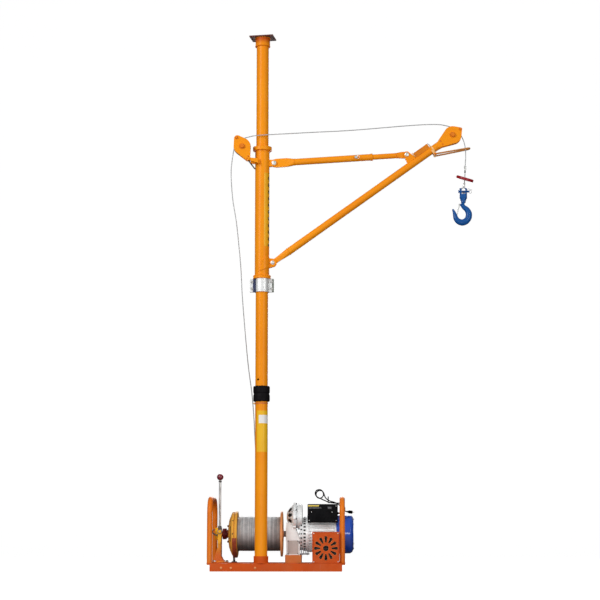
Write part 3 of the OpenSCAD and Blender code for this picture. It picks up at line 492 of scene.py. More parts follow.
class Form:
    """A mesh being built from turned, sawn and bent shapes. Frames are in metres, shapes in millimetres."""

    def __init__(self):
        self.bm = bmesh.new()

    def skin(self, rings, closed=True, caps=True):
        """Faces over rings of points in metres. A ring of one point closes the form there."""
        made = [[self.bm.verts.new(p) for p in ring] for ring in rings]
        for one, two in zip(made, made[1:]):
            n = max(len(one), len(two))
            for i in range(n if closed else n - 1):
                j = (i + 1) % n
                corners = [one[i % len(one)], one[j % len(one)], two[j % len(two)], two[i % len(two)]]
                face = list(dict.fromkeys(corners))
                if len(face) > 2:
                    self.bm.faces.new(face)
        if caps and closed:
            for ring in (made[0][::-1], made[-1]):
                if len(ring) > 2:
                    self.bm.faces.new(ring)
        return self

    def levels(self, frame, *shapes, caps=True):
        """Faces over outlines, each at its own height in the frame."""
        return self.skin([[frame @ mm(x, y, z) for x, y in shape] for shape, z in shapes], caps=caps)

    def lathe(self, frame, profile, n=48, loop=False):
        """A profile of (radius, height) turned about the frame's Z. A loop is a ring with a hole."""
        rings = [[frame @ mm(x, y, h) for x, y in (circle(r, n) if r else [(0, 0)])]
                 for r, h in profile + (profile[:1] if loop else [])]
        return self.skin(rings, caps=not loop)

    def prism(self, frame, outline, depth, bevel=0):
        """An outline in the frame's XY plane given a depth along its Z, its edges eased by a bevel."""
        if not bevel:
            return self.levels(frame, (outline, 0), (outline, depth))
        middle = Vector((sum(p[0] for p in outline), sum(p[1] for p in outline))) / len(outline)
        inner = [ease(p, middle, bevel) for p in outline]
        return self.levels(frame, (inner, 0), (outline, bevel), (outline, depth - bevel), (inner, depth))

    def block(self, frame, size, bevel=0.8):
        """A box centred on the frame in X and Y, standing on it in Z."""
        w, l, h = size
        corners = [(-w / 2, -l / 2), (w / 2, -l / 2), (w / 2, l / 2), (-w / 2, l / 2)]
        return self.prism(frame, corners, h, bevel)

    def sweep(self, points, radius, n=12, loop=False, frame=IDENTITY):
        """A round bar through the points. radius is a number or one for each point."""
        points = [frame @ mm(*p) for p in points]
        last = len(points) - 1
        radii = radius if isinstance(radius, list) else [radius] * len(points)
        side = None
        rings = []
        for i, point in enumerate(points):
            before = points[i - 1] if loop or i else point
            after = points[(i + 1) % len(points)] if loop or i < last else point
            along = (after - before).normalized()
            if side is None:
                side = along.orthogonal()
            side = (side - along * side.dot(along)).normalized()
            up = along.cross(side)
            rings.append([point + radii[i] * MM * (math.cos(a) * side + math.sin(a) * up)
                          for a in (math.tau * j / n for j in range(n))])
        return self.skin(rings + (rings[:1] if loop else []), caps=not loop)

    def nut(self, frame, across, height):
        """A hexagon nut or bolt head with its chamfered crown."""
        hexagon = circle(across / 2 / math.cos(math.pi / 6), 6)
        crown = [(x * 0.86, y * 0.86) for x, y in hexagon]
        return self.levels(frame, (hexagon, 0), (hexagon, height * 0.8), (crown, height))

    def bolt(self, frame, d):
        """A hexagon bolt's head with its washer, standing on the frame."""
        base = 0.18 * d
        self.lathe(frame, [(0, 0), (1.1 * d, 0), (1.1 * d, base * 0.8), (1.05 * d, base), (0, base)], 20)
        return self.nut(shifted(frame, 0, 0, base), 1.7 * d, 0.65 * d)

    def screw(self, frame, d):
        """A pan head screw with a cross cut in its crown."""
        dome = [(0, 0), (d, 0), (d, 0.25 * d), (0.8 * d, 0.5 * d), (0.4 * d, 0.62 * d), (0, 0.65 * d)]
        self.lathe(frame, dome, 16)
        for turn in (0, 90):
            self.block(shifted(turned(frame, turn), 0, 0, 0.5 * d), (d, 0.18 * d, 0.17 * d), 0)
        return self

    def seam(self, points, thickness=1.6, loop=False, frame=IDENTITY):
        """A weld bead along the points."""
        path = path_curve([frame @ mm(*p) for p in points], loop)
        size = thickness * MM
        return self.add(BEAD.grow(path, Thickness=size, Ripple=0.22, Step=size * 0.55))

    def copies(self, tree, seed, frame, **values):
        """Copies of another form, laid out by a tree."""
        shape = bpy.data.objects.new("seed", seed.mesh("seed"))
        grown = tree.grow(bpy.data.meshes.new("start"), Seed=shape, **values)
        bpy.data.objects.remove(shape)
        return self.add(grown, frame)

    def ring(self, seed, count, radius, frame):
        """Copies round the frame's Z."""
        return self.copies(RING, seed, frame, Count=count, Radius=radius * MM)

    def row(self, seed, count, step):
        """Copies a step apart."""
        return self.copies(ROW, seed, IDENTITY, Count=count, Step=tuple(mm(*step)))

    def add(self, mesh, frame=IDENTITY):
        """Another mesh, put in place by a frame."""
        mesh.transform(frame)
        self.bm.from_mesh(mesh)
        bpy.data.meshes.remove(mesh)
        return self

    def mesh(self, name, angle=32):
        made = bpy.data.meshes.new(name)
        bmesh.ops.remove_doubles(self.bm, verts=self.bm.verts, dist=1e-7)
        bmesh.ops.recalc_face_normals(self.bm, faces=self.bm.faces)
        self.bm.to_mesh(made)
        self.bm.free()
        made.shade_smooth()
        made.set_sharp_from_angle(angle=math.radians(angle))
        return made


# ---- geometry trees ----

class Recipe(Mixer):
    """A Geometry Nodes tree with named inputs, read as recipe[name]."""

    def __init__(self, name, **given):
        super().__init__(bpy.data.node_groups.new(name, "GeometryNodeTree"))
        for label, kind in {"Geometry": "Geometry", **given}.items():
            self.tree.interface.new_socket(label, in_out="INPUT", socket_type="NodeSocket" + kind)
        self.tree.interface.new_socket("Geometry", in_out="OUTPUT", socket_type="NodeSocketGeometry")
        self.start = self.tree.nodes.new("NodeGroupInput")

    def __getitem__(self, label):
        return Shade(self, self.start.outputs[label])

    def scale(self, vector, size):
        return self.node("ShaderNodeVectorMath", {"operation": "SCALE"}, {0: vector, "Scale": size})

    def stepped(self):
        """The start's curve, with a point at each step along it."""
        return self.node("GeometryNodeResampleCurve", {"mode": "LENGTH"}, {
            "Curve": self["Geometry"], "Length": self["Step"]})

    def section(self, resolution, radius):
        return self.node("GeometryNodeCurvePrimitiveCircle", {}, {"Resolution": resolution, "Radius": radius})

    def kept(self, geometry, kind, value):
        """The geometry with a value stored on it, and that value."""
        made = self.tree.nodes.new("GeometryNodeCaptureAttribute")
        made.capture_items.new(kind, "Kept")
        self.feed(made.inputs["Geometry"], geometry)
        self.feed(made.inputs["Kept"], value)
        return Shade(self, made.outputs["Geometry"]), Shade(self, made.outputs["Kept"])

    def seeds(self, points, **more):
        """Ends the tree in copies of its seed on the points."""
        seed = self.node("GeometryNodeObjectInfo", {}, {"Object": self["Seed"]}, "Geometry")
        return self.end(self.node("GeometryNodeInstanceOnPoints", {}, {
            "Points": points, "Instance": seed, **more}, "Instances"))

    def end(self, geometry):
        """Ends the tree in real geometry with one material."""
        real = self.node("GeometryNodeRealizeInstances", {}, [geometry])
        return self.leave(self.node("GeometryNodeSetMaterial", {}, {
            "Geometry": real, "Material": self["Material"]}))

    def leave(self, geometry):
        self.feed(self.tree.nodes.new("NodeGroupOutput").inputs[0], geometry)
        return self

    def on(self, name, modifiers, values):
        """A modifier that runs the tree with its named inputs set."""
        growth = modifiers.new(name, "NODES")
        growth.node_group = self.tree
        for item in self.tree.interface.items_tree:
            if item.in_out == "INPUT" and item.name in values:
                growth[item.identifier] = values[item.name]

    def grow(self, data, **values):
        """The plain mesh that the tree makes of a start, which is used up."""
        start = bpy.data.objects.new("start", data)
        scene.collection.objects.link(start)
        self.on("growth", start.modifiers, {"Material": ORANGE, **values})
        graph = bpy.context.evaluated_depsgraph_get()
        mesh = bpy.data.meshes.new_from_object(start.evaluated_get(graph))
        bpy.data.objects.remove(start)
        return mesh


def seeds_on_ring():
    """Copies of a seed round a circle about Z, each turned to face outwards."""
    r = Recipe("seeds_on_ring", Count="Int", Radius="Float", Seed="Object", Material="Material")
    points = r.node("GeometryNodeMeshCircle", {}, {"Vertices": r["Count"], "Radius": r["Radius"]})
    turn = r.node("GeometryNodeInputIndex", {}, {}) * math.tau / r["Count"]
    return r.seeds(points, Rotation=r.node("ShaderNodeCombineXYZ", {}, {"Z": turn}))


def seeds_in_row():
    """Copies of a seed along a straight row."""
    r = Recipe("seeds_in_row", Count="Int", Step="Vector", Seed="Object", Material="Material")
    return r.seeds(r.node("GeometryNodeMeshLine", {}, {"Count": r["Count"], "Offset": r["Step"]}))


def stranded_rope():
    """A wire rope laid along a curve: a lobed section that turns once in each pitch."""
    r = Recipe("stranded_rope", Radius="Float", Strands="Float", Pitch="Float", Step="Float",
               Material="Material")
    path = r.stepped()
    along = r.node("GeometryNodeSplineParameter", {}, {}, "Length")
    twisted = r.node("GeometryNodeSetCurveTilt", {}, {"Curve": path, "Tilt": along / r["Pitch"] * math.tau})
    turn = r.node("GeometryNodeInputIndex", {}, {}) / 24.0 * math.tau * (r["Strands"] * 0.5)
    lobe = turn.sum("ABSOLUTE", turn.sum("COSINE", turn))
    size = lobe * 0.16 + 0.84
    lobed = r.node("GeometryNodeSetPosition", {}, {
        "Geometry": r.section(24, r["Radius"]),
        "Position": r.scale(r.node("GeometryNodeInputPosition", {}, {}), size)})
    return r.end(r.node("GeometryNodeCurveToMesh", {}, {
        "Curve": twisted, "Profile Curve": lobed, "Fill Caps": True}))


def wound_rope():
    """Turns of rope side by side round Z, each a little out of true, with the lay kept as an attribute."""
    r = Recipe("wound_rope", Turns="Float", Radius="Float", Pitch="Float", Thickness="Float", Wander="Float",
               Material="Material")
    coil = r.node("GeometryNodeCurveSpiral", {}, {
        "Resolution": 64, "Rotations": r["Turns"], "Start Radius": r["Radius"], "End Radius": r["Radius"],
        "Height": r["Turns"] * r["Pitch"]})
    drift = r.node("ShaderNodeTexNoise", {}, {"Scale": 60.0, "Detail": 2.0}, "Color")
    centred = r.node("ShaderNodeVectorMath", {"operation": "SUBTRACT"}, {0: drift, 1: (0.5, 0.5, 0.5)})
    moved = r.node("GeometryNodeSetPosition", {}, {
        "Geometry": coil, "Offset": r.scale(centred, r["Wander"])})
    line, along = r.kept(moved, "FLOAT", r.node("GeometryNodeSplineParameter", {}, {}, "Length"))
    ring, side = r.kept(r.section(8, r["Thickness"]), "VECTOR", r.node("GeometryNodeInputPosition", {}, {}))
    swept = r.node("GeometryNodeCurveToMesh", {}, {"Curve": line, "Profile Curve": ring, "Fill Caps": True})
    across = {axis: r.node("ShaderNodeSeparateXYZ", {}, [side], axis) for axis in "XY"}
    lay = r.node("ShaderNodeCombineXYZ", {}, {**across, "Z": along})
    return r.end(r.node("GeometryNodeStoreNamedAttribute", {"data_type": "FLOAT_VECTOR"}, {
        "Geometry": swept, "Name": "lay", "Value": lay}))


def rippled_bead():
    """A weld bead along a curve, its ripples swelling and thinning it at each step of the torch."""
    r = Recipe("rippled_bead", Thickness="Float", Ripple="Float", Step="Float", Material="Material")
    path = r.stepped()
    wave = r.node("GeometryNodeInputIndex", {}, {}) * (math.tau / 4)
    swell = wave.sum("SINE", wave) * r["Ripple"] + 1.0
    shaped = r.node("GeometryNodeSetCurveRadius", {}, {"Curve": path, "Radius": swell})
    return r.end(r.node("GeometryNodeCurveToMesh", {}, {
        "Curve": shaped, "Profile Curve": r.section(8, r["Thickness"]), "Scale": swell, "Fill Caps": True}))


def soft_edges():
    """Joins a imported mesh's loose triangles, and shades it smooth up to its real edges."""
    r = Recipe("soft_edges", Angle="Float")
    joined = r.node("GeometryNodeMergeByDistance", {}, {"Geometry": r["Geometry"], "Distance": LOOSE})
    bend = r.node("GeometryNodeInputMeshEdgeAngle", {}, {}, "Unsigned Angle")
    gentle = r.node("FunctionNodeCompare", {"data_type": "FLOAT", "operation": "LESS_THAN"}, {
        0: bend, 1: r["Angle"]})
    for domain, soft in (("FACE", True), ("EDGE", gentle)):
        joined = r.node("GeometryNodeSetShadeSmooth", {"domain": domain}, {
            "Geometry": joined, "Shade Smooth": soft})
    return r.leave(joined)


RING, ROW = seeds_on_ring(), seeds_in_row()
STRANDS, TURNS, BEAD, SOFT = stranded_rope(), wound_rope(), rippled_bead(), soft_edges()


def path_curve(points, loop=False):
    """A curve along points in metres, for a tree to grow on."""
    data = bpy.data.curves.new("path", "CURVE")
    data.dimensions = "3D"
    spline = data.splines.new("POLY")
    spline.points.add(len(points) - 1)
    for place, point in zip(spline.points, points):
        place.co = (*point, 1)
    spline.use_cyclic_u = loop
    return data


def piece(name, form, finish, body, stands_for=(), blend=None, angle=32):
    """A finished piece: dressed, riding on its body, and standing for any CAD nodes it replaces."""
    mesh = form.mesh(name, angle) if isinstance(form, Form) else form
    made = bpy.data.objects.new(name, mesh)
    scene.collection.objects.link(made)
    mesh.materials.clear()
    mesh.materials.append(finish)
    if blend:
        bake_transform(made)
    else:
        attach(made, body)
    if stands_for:
        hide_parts(*stands_for)
    return made


def dress(names, finish, bevel=0.0008, angle=38):
    """Gives CAD nodes their finish, eased edges and soft shading."""
    for name in names.split():
        node = frame["nodes"][name]
        node.data.materials.clear()
        node.data.materials.append(finish)
        if bevel:
            weld = node.modifiers.new("weld", "WELD")
            weld.merge_threshold = LOOSE
            eased = node.modifiers.new("eased", "BEVEL")
            eased.width = bevel
            eased.segments = 2
            eased.limit_method = "ANGLE"
            eased.angle_limit = math.radians(angle)
        SOFT.on("soft", node.modifiers, {"Angle": math.radians(angle)})
        if bevel:
            even = node.modifiers.new("even", "WEIGHTED_NORMAL")
            even.keep_sharp = True


# ---- where things are ----

TIE_END = mm(893, 0, 2539)
boom_line = pivot["head_sheave_spin"] - pivot["boom_luff"]
tie_line = TIE_END - pivot["tie_pivot"]
BOOM = facing(pivot["boom_luff"], boom_line.cross(Y), boom_line)
TIE = facing(pivot["tie_pivot"], tie_line.cross(Y), tie_line)
HEAD, REAR = pivot["head_sheave_spin"], mm(-122, -56, 2584)


def rim_points(centre, first, last):
    """The rope's line round a sheave."""
    x, y, z = centre / MM
    return [(a, y, b) for a, b in arc(x, z, SHEAVE_R, first, last, 4)]


DROP = [(-170, -56, 2584), (-184, -52, 2500), (-190, -47, 2410), (-180, -34, 2260), (-156, -18, 2103),
        (-131, 6, 1850), (-120, 28, 1642), (-90, 72, 1280), (-65, 104, 1076), (-53, 126, 931),
        (-46, 150, 780), (-34, 174, 600), (-14, 190, 440), (6, 205, 328.5)]
TOP = [*rim_points(REAR, 180, 100), (-96, -55, 2642), (-43, -52, 2655), (37, -49, 2661), (300, -37, 2677),
       (560, -26, 2692), (920, -10, 2724), (1074, -4, 2731), (1140, -1, 2723), *rim_points(HEAD, 85, 21)]
FALL = [(1224.1, 0, 2674.4), (1234, 0, 2654), (1247, 0, 2622), (1255, 0, 2581), (1257, 0, 2530),
        (1253, 0, 2467), (1250, 0, 2400), (1246, 0, 2356), (1243.2, 0, 2334.5)]
LEAD = [(468, 112, 345), (483, 112, 347), (496, 113, 356), (502, 115, 372), (497, 117, 389),
        (484, 118, 401), (467, 119, 406), (448, 118, 406), (409, 116, 410), (391, 114, 417),
        (355, 112, 433), (338, 111, 441), (326, 110, 453), (323, 109, 469), (331, 108, 482),
        (346, 107, 487), (361, 106, 483), (371, 105, 469), (372, 104, 452), (362, 103, 439),
        (347, 102, 435), (333, 101, 443), (328, 99, 458), (333, 98, 473), (347, 97, 481), (363, 97, 479),
        (374, 97, 467), (379, 98, 451), (386, 100, 437), (398, 102, 426), (412, 101, 418), (426, 93, 414),
        (437, 81, 411), (448, 69, 406), (459, 61, 400), (470, 60, 392), (480, 67, 385), (486, 80, 379),
        (488, 95, 374), (488, 109, 369), (491, 122, 364), (497, 133, 361), (506, 141, 358), (516, 148, 355)]
HOOK = [(1238, 0, 2249), (1238, 0, 2236), (1233, 0, 2222), (1241, 0, 2208), (1258, 0, 2193),
        (1270, 0, 2170), (1268, 0, 2142), (1252, 0, 2120), (1230, 0, 2112), (1208, 0, 2118),
        (1192, 0, 2136), (1186, 0, 2158), (1180, 0, 2178), (1173, 0, 2194)]
HOOK_RADII = [8.5, 8.5, 13, 14, 17, 19.5, 20, 20, 20, 18.5, 16, 13, 9, 5]


# ---- the lead ----

def add_lead():
    """The mains lead with its ribbed strain relief, cable tie and plug."""
    line = smooth(LEAD, 3)
    jacket = piece("lead", Form().sweep(line, 3.5, 14), RUBBER, "base", ["lead_cord"])
    ribs = [Vector((462, 112, 345)), Vector((463, 112, 345)), *line[:9]]
    fine = [a.lerp(b, t / 4) for a, b in zip(ribs, ribs[1:]) for t in range(4)]
    radii = [6 - 2.5 * i / len(fine) - (0 if i % 3 else 0.9) for i in range(len(fine))]
    gland = Form().nut(facing(mm(458.8, 112, 345), X, Y), 14.4, 5).sweep(fine, radii, 20)
    relief = piece("lead_strain_relief", gland, RUBBER, "base", ["lead_gland"], angle=60)

    outer, inner = [[*arc(6, 6, r, 180, 270, 6), *arc(18, 6, r, 270, 360, 6), *arc(18, 24, r, 0, 90, 6),
                     *arc(6, 24, r, 90, 180, 6)] for r in (6, 4.5)]
    strap = Form().levels(facing(mm(398, 96.5, 406), X, Y), (outer, 0.5), (outer, 6.5), (inner, 6.5),
                          (inner, 0.5), (outer, 0.5), caps=False)
    strap.block(upwards(401.5, 101, 435.4), (8, 6, 4), 0.6)
    strap.block(facing(mm(401.5, 101, 438), (0, -0.5, 1), X), (5, 1.4, 9), 0.3)
    tie = piece("lead_cable_tie", strap, PLASTIC, "base", ["lead_tie"])

    along = mm(30, 18, -3).normalized()
    plug_frame = facing(mm(516, 148, 355) - along * 2 * MM, along, Z)
    shell = Form().lathe(plug_frame, [
        (0, 0), (3.6, 0), (4.6, 0.6), (4.3, 3), (5.2, 3.6), (4.9, 6), (5.9, 6.6), (5.6, 9), (7.2, 10.5),
        (8.6, 13), (9.2, 18), (8.8, 24), (9.3, 30), (9.9, 33), (9.9, 35.6), (9.5, 36.2), (0, 36.2)], 32)
    for turn in range(0, 360, 30):
        shell.block(shifted(turned(plug_frame, turn), 8.8, 0, 15), (1.4, 1.2, 14), 0.3)
    plug = piece("lead_plug_body", shell, PLASTIC, "base", ["lead_plug"])
    prongs = Form()
    for side in (-4.6, 4.6):
        prongs.block(shifted(plug_frame, 0, side, 36), (1.6, 5, 13), 0.4)
    pins = piece("lead_plug_pins", prongs, BRASS, "base")
    path = [tuple(p * MM) for p in line]
    sum((b - a).length for a, b in zip(line, line[1:])) * MM


# ---- the wire rope ----

def rope_along(name, points, body, blend=None, stands_for=()):
    mesh = STRANDS.grow(path_curve([mm(*p) for p in points]), Radius=ROPE_R * MM, Strands=6.0, Pitch=34 * MM,
                        Step=2.6 * MM)
    mesh.shade_smooth()
    piece(name, mesh, ROPE, body, stands_for, blend)


def add_ropes():
    rope_along("rope_up_the_mast", smooth(DROP, 6), None,
               ("base", "sleeve", mm(0, 0, 329), mm(0, 0, 2540)), ["rope_drop"])
    rope_along("rope_over_the_boom", smooth(TOP, 6), None,
               ("sleeve", "boom", mm(-60, -50, 2661), mm(1130, 0, 2661)), ["rope_top"])
    rope_along("rope_to_the_hook", smooth(FALL, 6), "hook_line", None, ["rope_fall"])

    wound = TURNS.grow(bpy.data.meshes.new("coil"), Turns=43.0, Radius=101 * MM, Pitch=6 * MM,
                       Thickness=ROPE_R * MM, Wander=0.9 * MM)
    layers = [p for r in range(96, 50, -5) for p in arc(r - 2.5, 0, 2.5, 0, 180, 4)]
    ends = [(r, 2.6 - h) for r, h in layers] + [(r, 257.4 + h) for r, h in layers[::-1]]
    pack = Form().add(wound, on_shaft(-150.5))
    pack.lathe(on_shaft(-150), [(99.5, 3), *ends, (99.5, 257)], 72, loop=True)
    piece("rope_on_drum", pack, WOUND, "drum", ["rope_pack"], angle=50)


# ---- the base ----

def add_base():
    beads = Form()
    for x in (-308, 486):
        for y in (0, 400):
            beads.seam(level_ring(48.4, 16.6, x, y), 2, True)
    for x in (-266, 188, 440):
        for y in (39.4, 360.6):
            for side in (-26.3, 26.3):
                beads.seam([(x + side, y, z) for z in (3, 25, 46)])
            beads.seam([(x + side, y, 48.3) for side in (-25, 0, 25)])
    beads.seam(level_ring(48.6, 44.3), 2.4, True)
    piece("base_weld_beads", beads, RED_ORANGE, "base", angle=60)

    head = [(0, -0.4), (7, -0.4), (7, 1.2), (5.4, 3.6), (2.6, 4.8), (0, 5)]
    rivets = Form()
    for x in (-235, -177, -33):
        rivets.lathe(front(x, -39, 21), head, 24).lathe(back(x, 439, 21), head, 24)
    piece("rail_rivets", rivets, LIP_ORANGE, "base", angle=50)

    bolts = Form()
    for xs, ys, z, d in (((-288, -222), (146, 264), 56, 9), ((152, 225), (139, 271), 95, 8)):
        for x in xs:
            for y in ys:
                bolts.bolt(upwards(x, y, z), d)
    for x in (316, 460):
        for z in (57, 224):
            bolts.screw(front(x, -34, z), 3.6)
    piece("base_bolts", bolts, ZINC, "base")

    ends = Form()
    for x, way in ((-300, -1), (480, 1)):
        for y in (0, 400):
            ends.block(facing(mm(x, y, 24), X * way, Y), (69.6, 39.6, 4.4), 1)
    piece("rail_end_caps", ends, RED_ORANGE, "base")


# ---- the mast ----

def wrap(name, r, low, high, first, last, finish, body):
    """A thin sticker curved round the mast or the sleeve."""
    outline = arc(0, 0, r + 0.22, first, last, 40) + arc(0, 0, r + 0.02, last, first, 40)
    piece(name, Form().prism(upwards(0, 0, low), outline, high - low), finish, body)


def mirrored(profile):
    """A profile below the middle, and the same above it."""
    return profile + [(r, -h) for r, h in profile[::-1]]


def add_mast():
    coupling = Form().lathe(upwards(0, 0, 1060), mirrored([
        (38.2, -47), (44, -47), (47.6, -45.8), (49.4, -43), (50, -39), (50, -11), (49.4, -6.5), (47.4, -3.4),
        (46.8, -0.8)]), 96, loop=True)
    for x, y in arc(0, 0, 49.9, 4, 356, 44):
        for z in (1034, 1086):
            coupling.block(facing(mm(x, y, z), (x, y, 0), Z), (30, 1.6, 0.5), 0.2)
    piece("splice_coupling", coupling, RUBBER, "base", ["mast_coupling"])

    tail = Form().block(facing(mm(-38.6, -11, 1001.5), (-1, -0.28, 0), Z), (11, 16, 5), 1)
    tail.lathe(facing(mm(-44.5, -22, 1001.5), (-0.28, 1, 0), Z),
               [(0, -9), (4.2, -9), (4.6, -8), (4.6, -3), (3.2, -2.6), (3.2, 14), (0, 14)], 20)
    piece("hose_clamp_screw", tail, CREAM, "base")
    # The band takes the darker foot enamel: painted shadow under the coupling.
    band = Form().lathe(upwards(0, 0, 997), [(38.1, 0), (39.3, 0), (39.3, 9), (38.1, 9)], 72, loop=True)
    piece("hose_clamp", band, FOOT_ORANGE, "base")

    wrap("mast_sticker", MAST_R, 709, 957, -135, 8, MAST_LABEL, "base")
    wrap("sleeve_sticker", SLEEVE_R, 1965, 2424, -73, -8, SLEEVE_LABEL, "sleeve")
    beads = Form().seam(level_ring(3240.2, 45.4), 2, True).seam(level_ring(3291.6, 45.8), 2.4, True)
    piece("ceiling_weld_beads", beads, ORANGE, "base", angle=60)

    bolts = Form()
    for x in (-60, 60):
        for z in (1703.5, 1745.5):
            bolts.bolt(front(x, -9, z), 8).bolt(back(x, 9, z), 8).sweep([(x, -9, z), (x, 20, z)], 3.9, 16)
    piece("clamp_bolts", bolts, STEEL, "base")
    lips = Form().seam(level_ring(1683.4, 43.6), 1, True).seam(level_ring(1765.6, 43.6), 1, True)
    for x in (-71, 71):
        for y in (-5.2, 5.2):
            lips.block(upwards(x, y, 1684), (5, 8.6, 81), 1.4)
    piece("clamp_lips", lips, CLAMP_ZINC, "base")


# ---- the sleeve ----

def pin_ends(form, x, z, reach, r):
    """A pin's domed head at the front and its washer and split pin at the back, each at its reach."""
    form.lathe(front(x, -reach, z), [(0, -0.4), (r + 1.5, -0.4), (r + 1.5, 1.6), (r, 1.8), (r, 4.4),
                                     (r - 1.2, 6.2), (r - 4, 7.4), (0, 8)], 40)
    tail = back(x, reach, z)
    form.lathe(tail, [(0, -0.4), (r, -0.4), (r, 1.8), (8, 2), (8, 9), (7, 10), (0, 10)], 32)
    form.sweep([(-11, 0, 5.4), (11, 0, 5.4), (14, 3.4, 5.4)], 1.3, 8, frame=tail)
    return form.sweep([(a, b, 5.4) for a, b in arc(-14, 0, 3, 0, 340, 12)], 1.1, 8, frame=tail)


def add_sleeve():
    beads = Form().seam(level_ring(2568.6, 45.2), 2.2, True)
    saddle = [(44 - 8 * i, 1835.8 - 3.6 * i) for i in range(9)]
    saddle += [(-10, 1829.5), (0, 1851.5), (10, 1874), (20, 1896)]
    for side in (-1, 1):
        for y, r, low, high in ((15.6, 48.1, 1839, 1894), (14.6, 44.9, 2467, 2515)):
            beads.seam([(math.sqrt(r * r - y * y), y * side, z) for z in (low, (low + high) / 2, high)])
        beads.seam([(x, side * math.sqrt(46.6 ** 2 - x * x), z) for x, z in saddle], 1.5)
    for z in (2477.6, 2508.4):
        beads.seam([(-40, -22, z), (-28, -36, z), (-14, -43.4, z)], 2)
    piece("sleeve_weld_beads", beads, ORANGE, "sleeve", angle=60)

    lobe = Form().lathe(upwards(0, 0, 1781), [(0, -2), (5, -1), (6, 2), (4.4, 5), (0, 6.4)], 14)
    scallops = Form().seam(level_ring(1783.4, 48), 3.4, True).ring(lobe, 22, 49, IDENTITY)
    piece("sleeve_foot_scallops", scallops, ORANGE, "sleeve", angle=50)

    rod = Form().sweep([(-84, -54, 2500), (-82, -52, 2496), (-66, -43, 2476), (-48, -32, 2454),
                        (-44, -28, 2450)], 4, 16)
    piece("rope_guard_rod", rod, DARK_STEEL, "sleeve")
    pins = pin_ends(pin_ends(Form(), 65, 1865, 15, 11), 73, 2491, 14, 13)
    piece("sleeve_pin_heads", pins, ZINC, "sleeve")

    nuts = Form().bolt(front(-122, -75, 2584), 15.5).bolt(back(-122, -37, 2584), 14)
    for y, side in ((-75, front), (-37, back)):
        nuts.bolt(side(-156, y, 2638), 9).screw(side(-92, y, 2505), 5).screw(side(-84, y, 2520), 5)
    piece("rear_axle_nuts", nuts, NUT_ORANGE, "sleeve")


# ---- the boom and the tie ----

def add_boom():
    beads = Form().seam(upright_ring(121, 22.8, 40), 1.8, True, BOOM)
    for side in (-1, 1):
        lug_y, cheek_y = 15.6 * side, 14.4 * side
        lug_z = math.sqrt(22.7 ** 2 - lug_y ** 2)
        beads.seam([(s, lug_y, lug_z) for s in (1038, 1066, 1097)], 1.7, False, BOOM)
        beads.seam([(1251, cheek_y, -20.5), (1258, cheek_y, -21), (1290, cheek_y, -22)], 1.4, False, BOOM)
    piece("boom_weld_beads", beads, ORANGE, "boom", angle=60)
    piece("tie_end_pin", pin_ends(Form(), 893, 2539, 15, 12), ZINC, "boom")

    nuts = Form()
    for y, side in ((-19, front), (19, back)):
        nuts.bolt(side(1178, y, 2661), 15.5).bolt(side(1227, y, 2697), 9)
        for z in (12, -12):
            nuts.screw(facing(BOOM @ mm(1283, y, z), Y * y, X), 5)
    piece("head_axle_nuts", nuts, NUT_ORANGE, "boom")

    lid = shifted(BOOM, 1154, 0, 46)
    covers = Form().block(lid, (102, 32, 2.6), 0.9)
    for side in (-1, 1):
        covers.block(turned(shifted(BOOM, 1154, 17 * side, 29), -90 * side, "X"), (92, 24, 1.2), 0.5)
    piece("limit_switch_covers", covers, SWITCH_ORANGE, "boom")
    small = Form()
    for s in (-42, 42):
        for y in (-11, 11):
            small.screw(shifted(lid, s, y, 2.5), 2.6)
        small.screw(turned(shifted(BOOM, 1154 + s, -18.1, 29), 90, "X"), 2.2)
    small.lathe(turned(shifted(BOOM, 1104, 0, 29), -90, "Y"),
                [(0, 0), (7, 0), (7, 4), (5.6, 4.6), (5.6, 9), (4.4, 10.5), (0, 10.5)], 18)
    small.sweep([(1215, -2, 25), (1216, -2, 38), (1212, -2, 50)], 1.6, 10, frame=BOOM)
    small.nut(shifted(BOOM, 1215, -2, 25.4), 7, 4)
    for side in (-1, 1):
        small.lathe(turned(shifted(BOOM, 1211, 22.6 * side, -36), -90 * side, "X"),
                    [(4.2, 0), (6.6, 0), (6.6, 1.6), (4.2, 1.6)], 20, loop=True)
    piece("limit_gear_screws", small, DARK_STEEL, "boom")

    plate = Form().block(shifted(BOOM, 1098.6, 0, 22.6), (3.4, 33, 33))
    for y in (-9, 9):
        plate.bolt(facing(BOOM @ mm(1096.8, y, 38), BOOM.to_3x3() @ -X, Y), 6)
    piece("switch_bracket", plate, CREAM, "boom")

    eyes = Form()
    for y in (-30, 30):
        eyes.lathe(facing(pivot["limit_lift"] + mm(0, y, 0), Y * y, X),
                   [(0, -6), (6.6, -6), (7.4, -4), (7.4, 4), (6.4, 5.6), (0, 6)], 24)
    piece("limit_arm_eyes", eyes, NUT_ORANGE, "limit_lever")


def add_tie():
    pin = turned(shifted(TIE, 508, -29.5, 0), 90, "X")
    lock = Form().lathe(pin, [(0, -0.5), (9.4, -0.5), (9.8, 1), (9.8, 4), (8, 5.6), (0, 6)], 28)
    lock.sweep([(13 + 9 * x, 9 * y, 2 + 3 * x) for x, y in circle(1, 28)], 1, 8, loop=True, frame=pin)
    piece("tie_lock_pin", lock, ZINC, "tie_tube")

    collar = Form().seam(upright_ring(126.5, 20.8, 36), 1.6, True, TIE)
    collar.lathe(turned(shifted(TIE, 597, 0, 0), 90, "Y"),
                 [(20.6, 0), (22.4, 0.8), (22.4, 13.2), (20.6, 14)], 56, loop=True)
    piece("tie_tube_collar", collar, ORANGE, "tie_tube", angle=50)

    end = tie_line.length / MM
    rod = Form().seam(upright_ring(end - 63.5, 16.8, 32), 1.4, True, TIE)
    for side in (-1, 1):
        rod.lathe(turned(shifted(TIE, end, 7 * side, 0), -90 * side, "X"),
                  [(12.4, 0), (15, 0), (15, 0.9), (12.4, 0.9)], 32, loop=True)
    piece("tie_rod_collars", rod, ORANGE, "tie_rod", angle=50)


# ---- the hook line and the hook ----

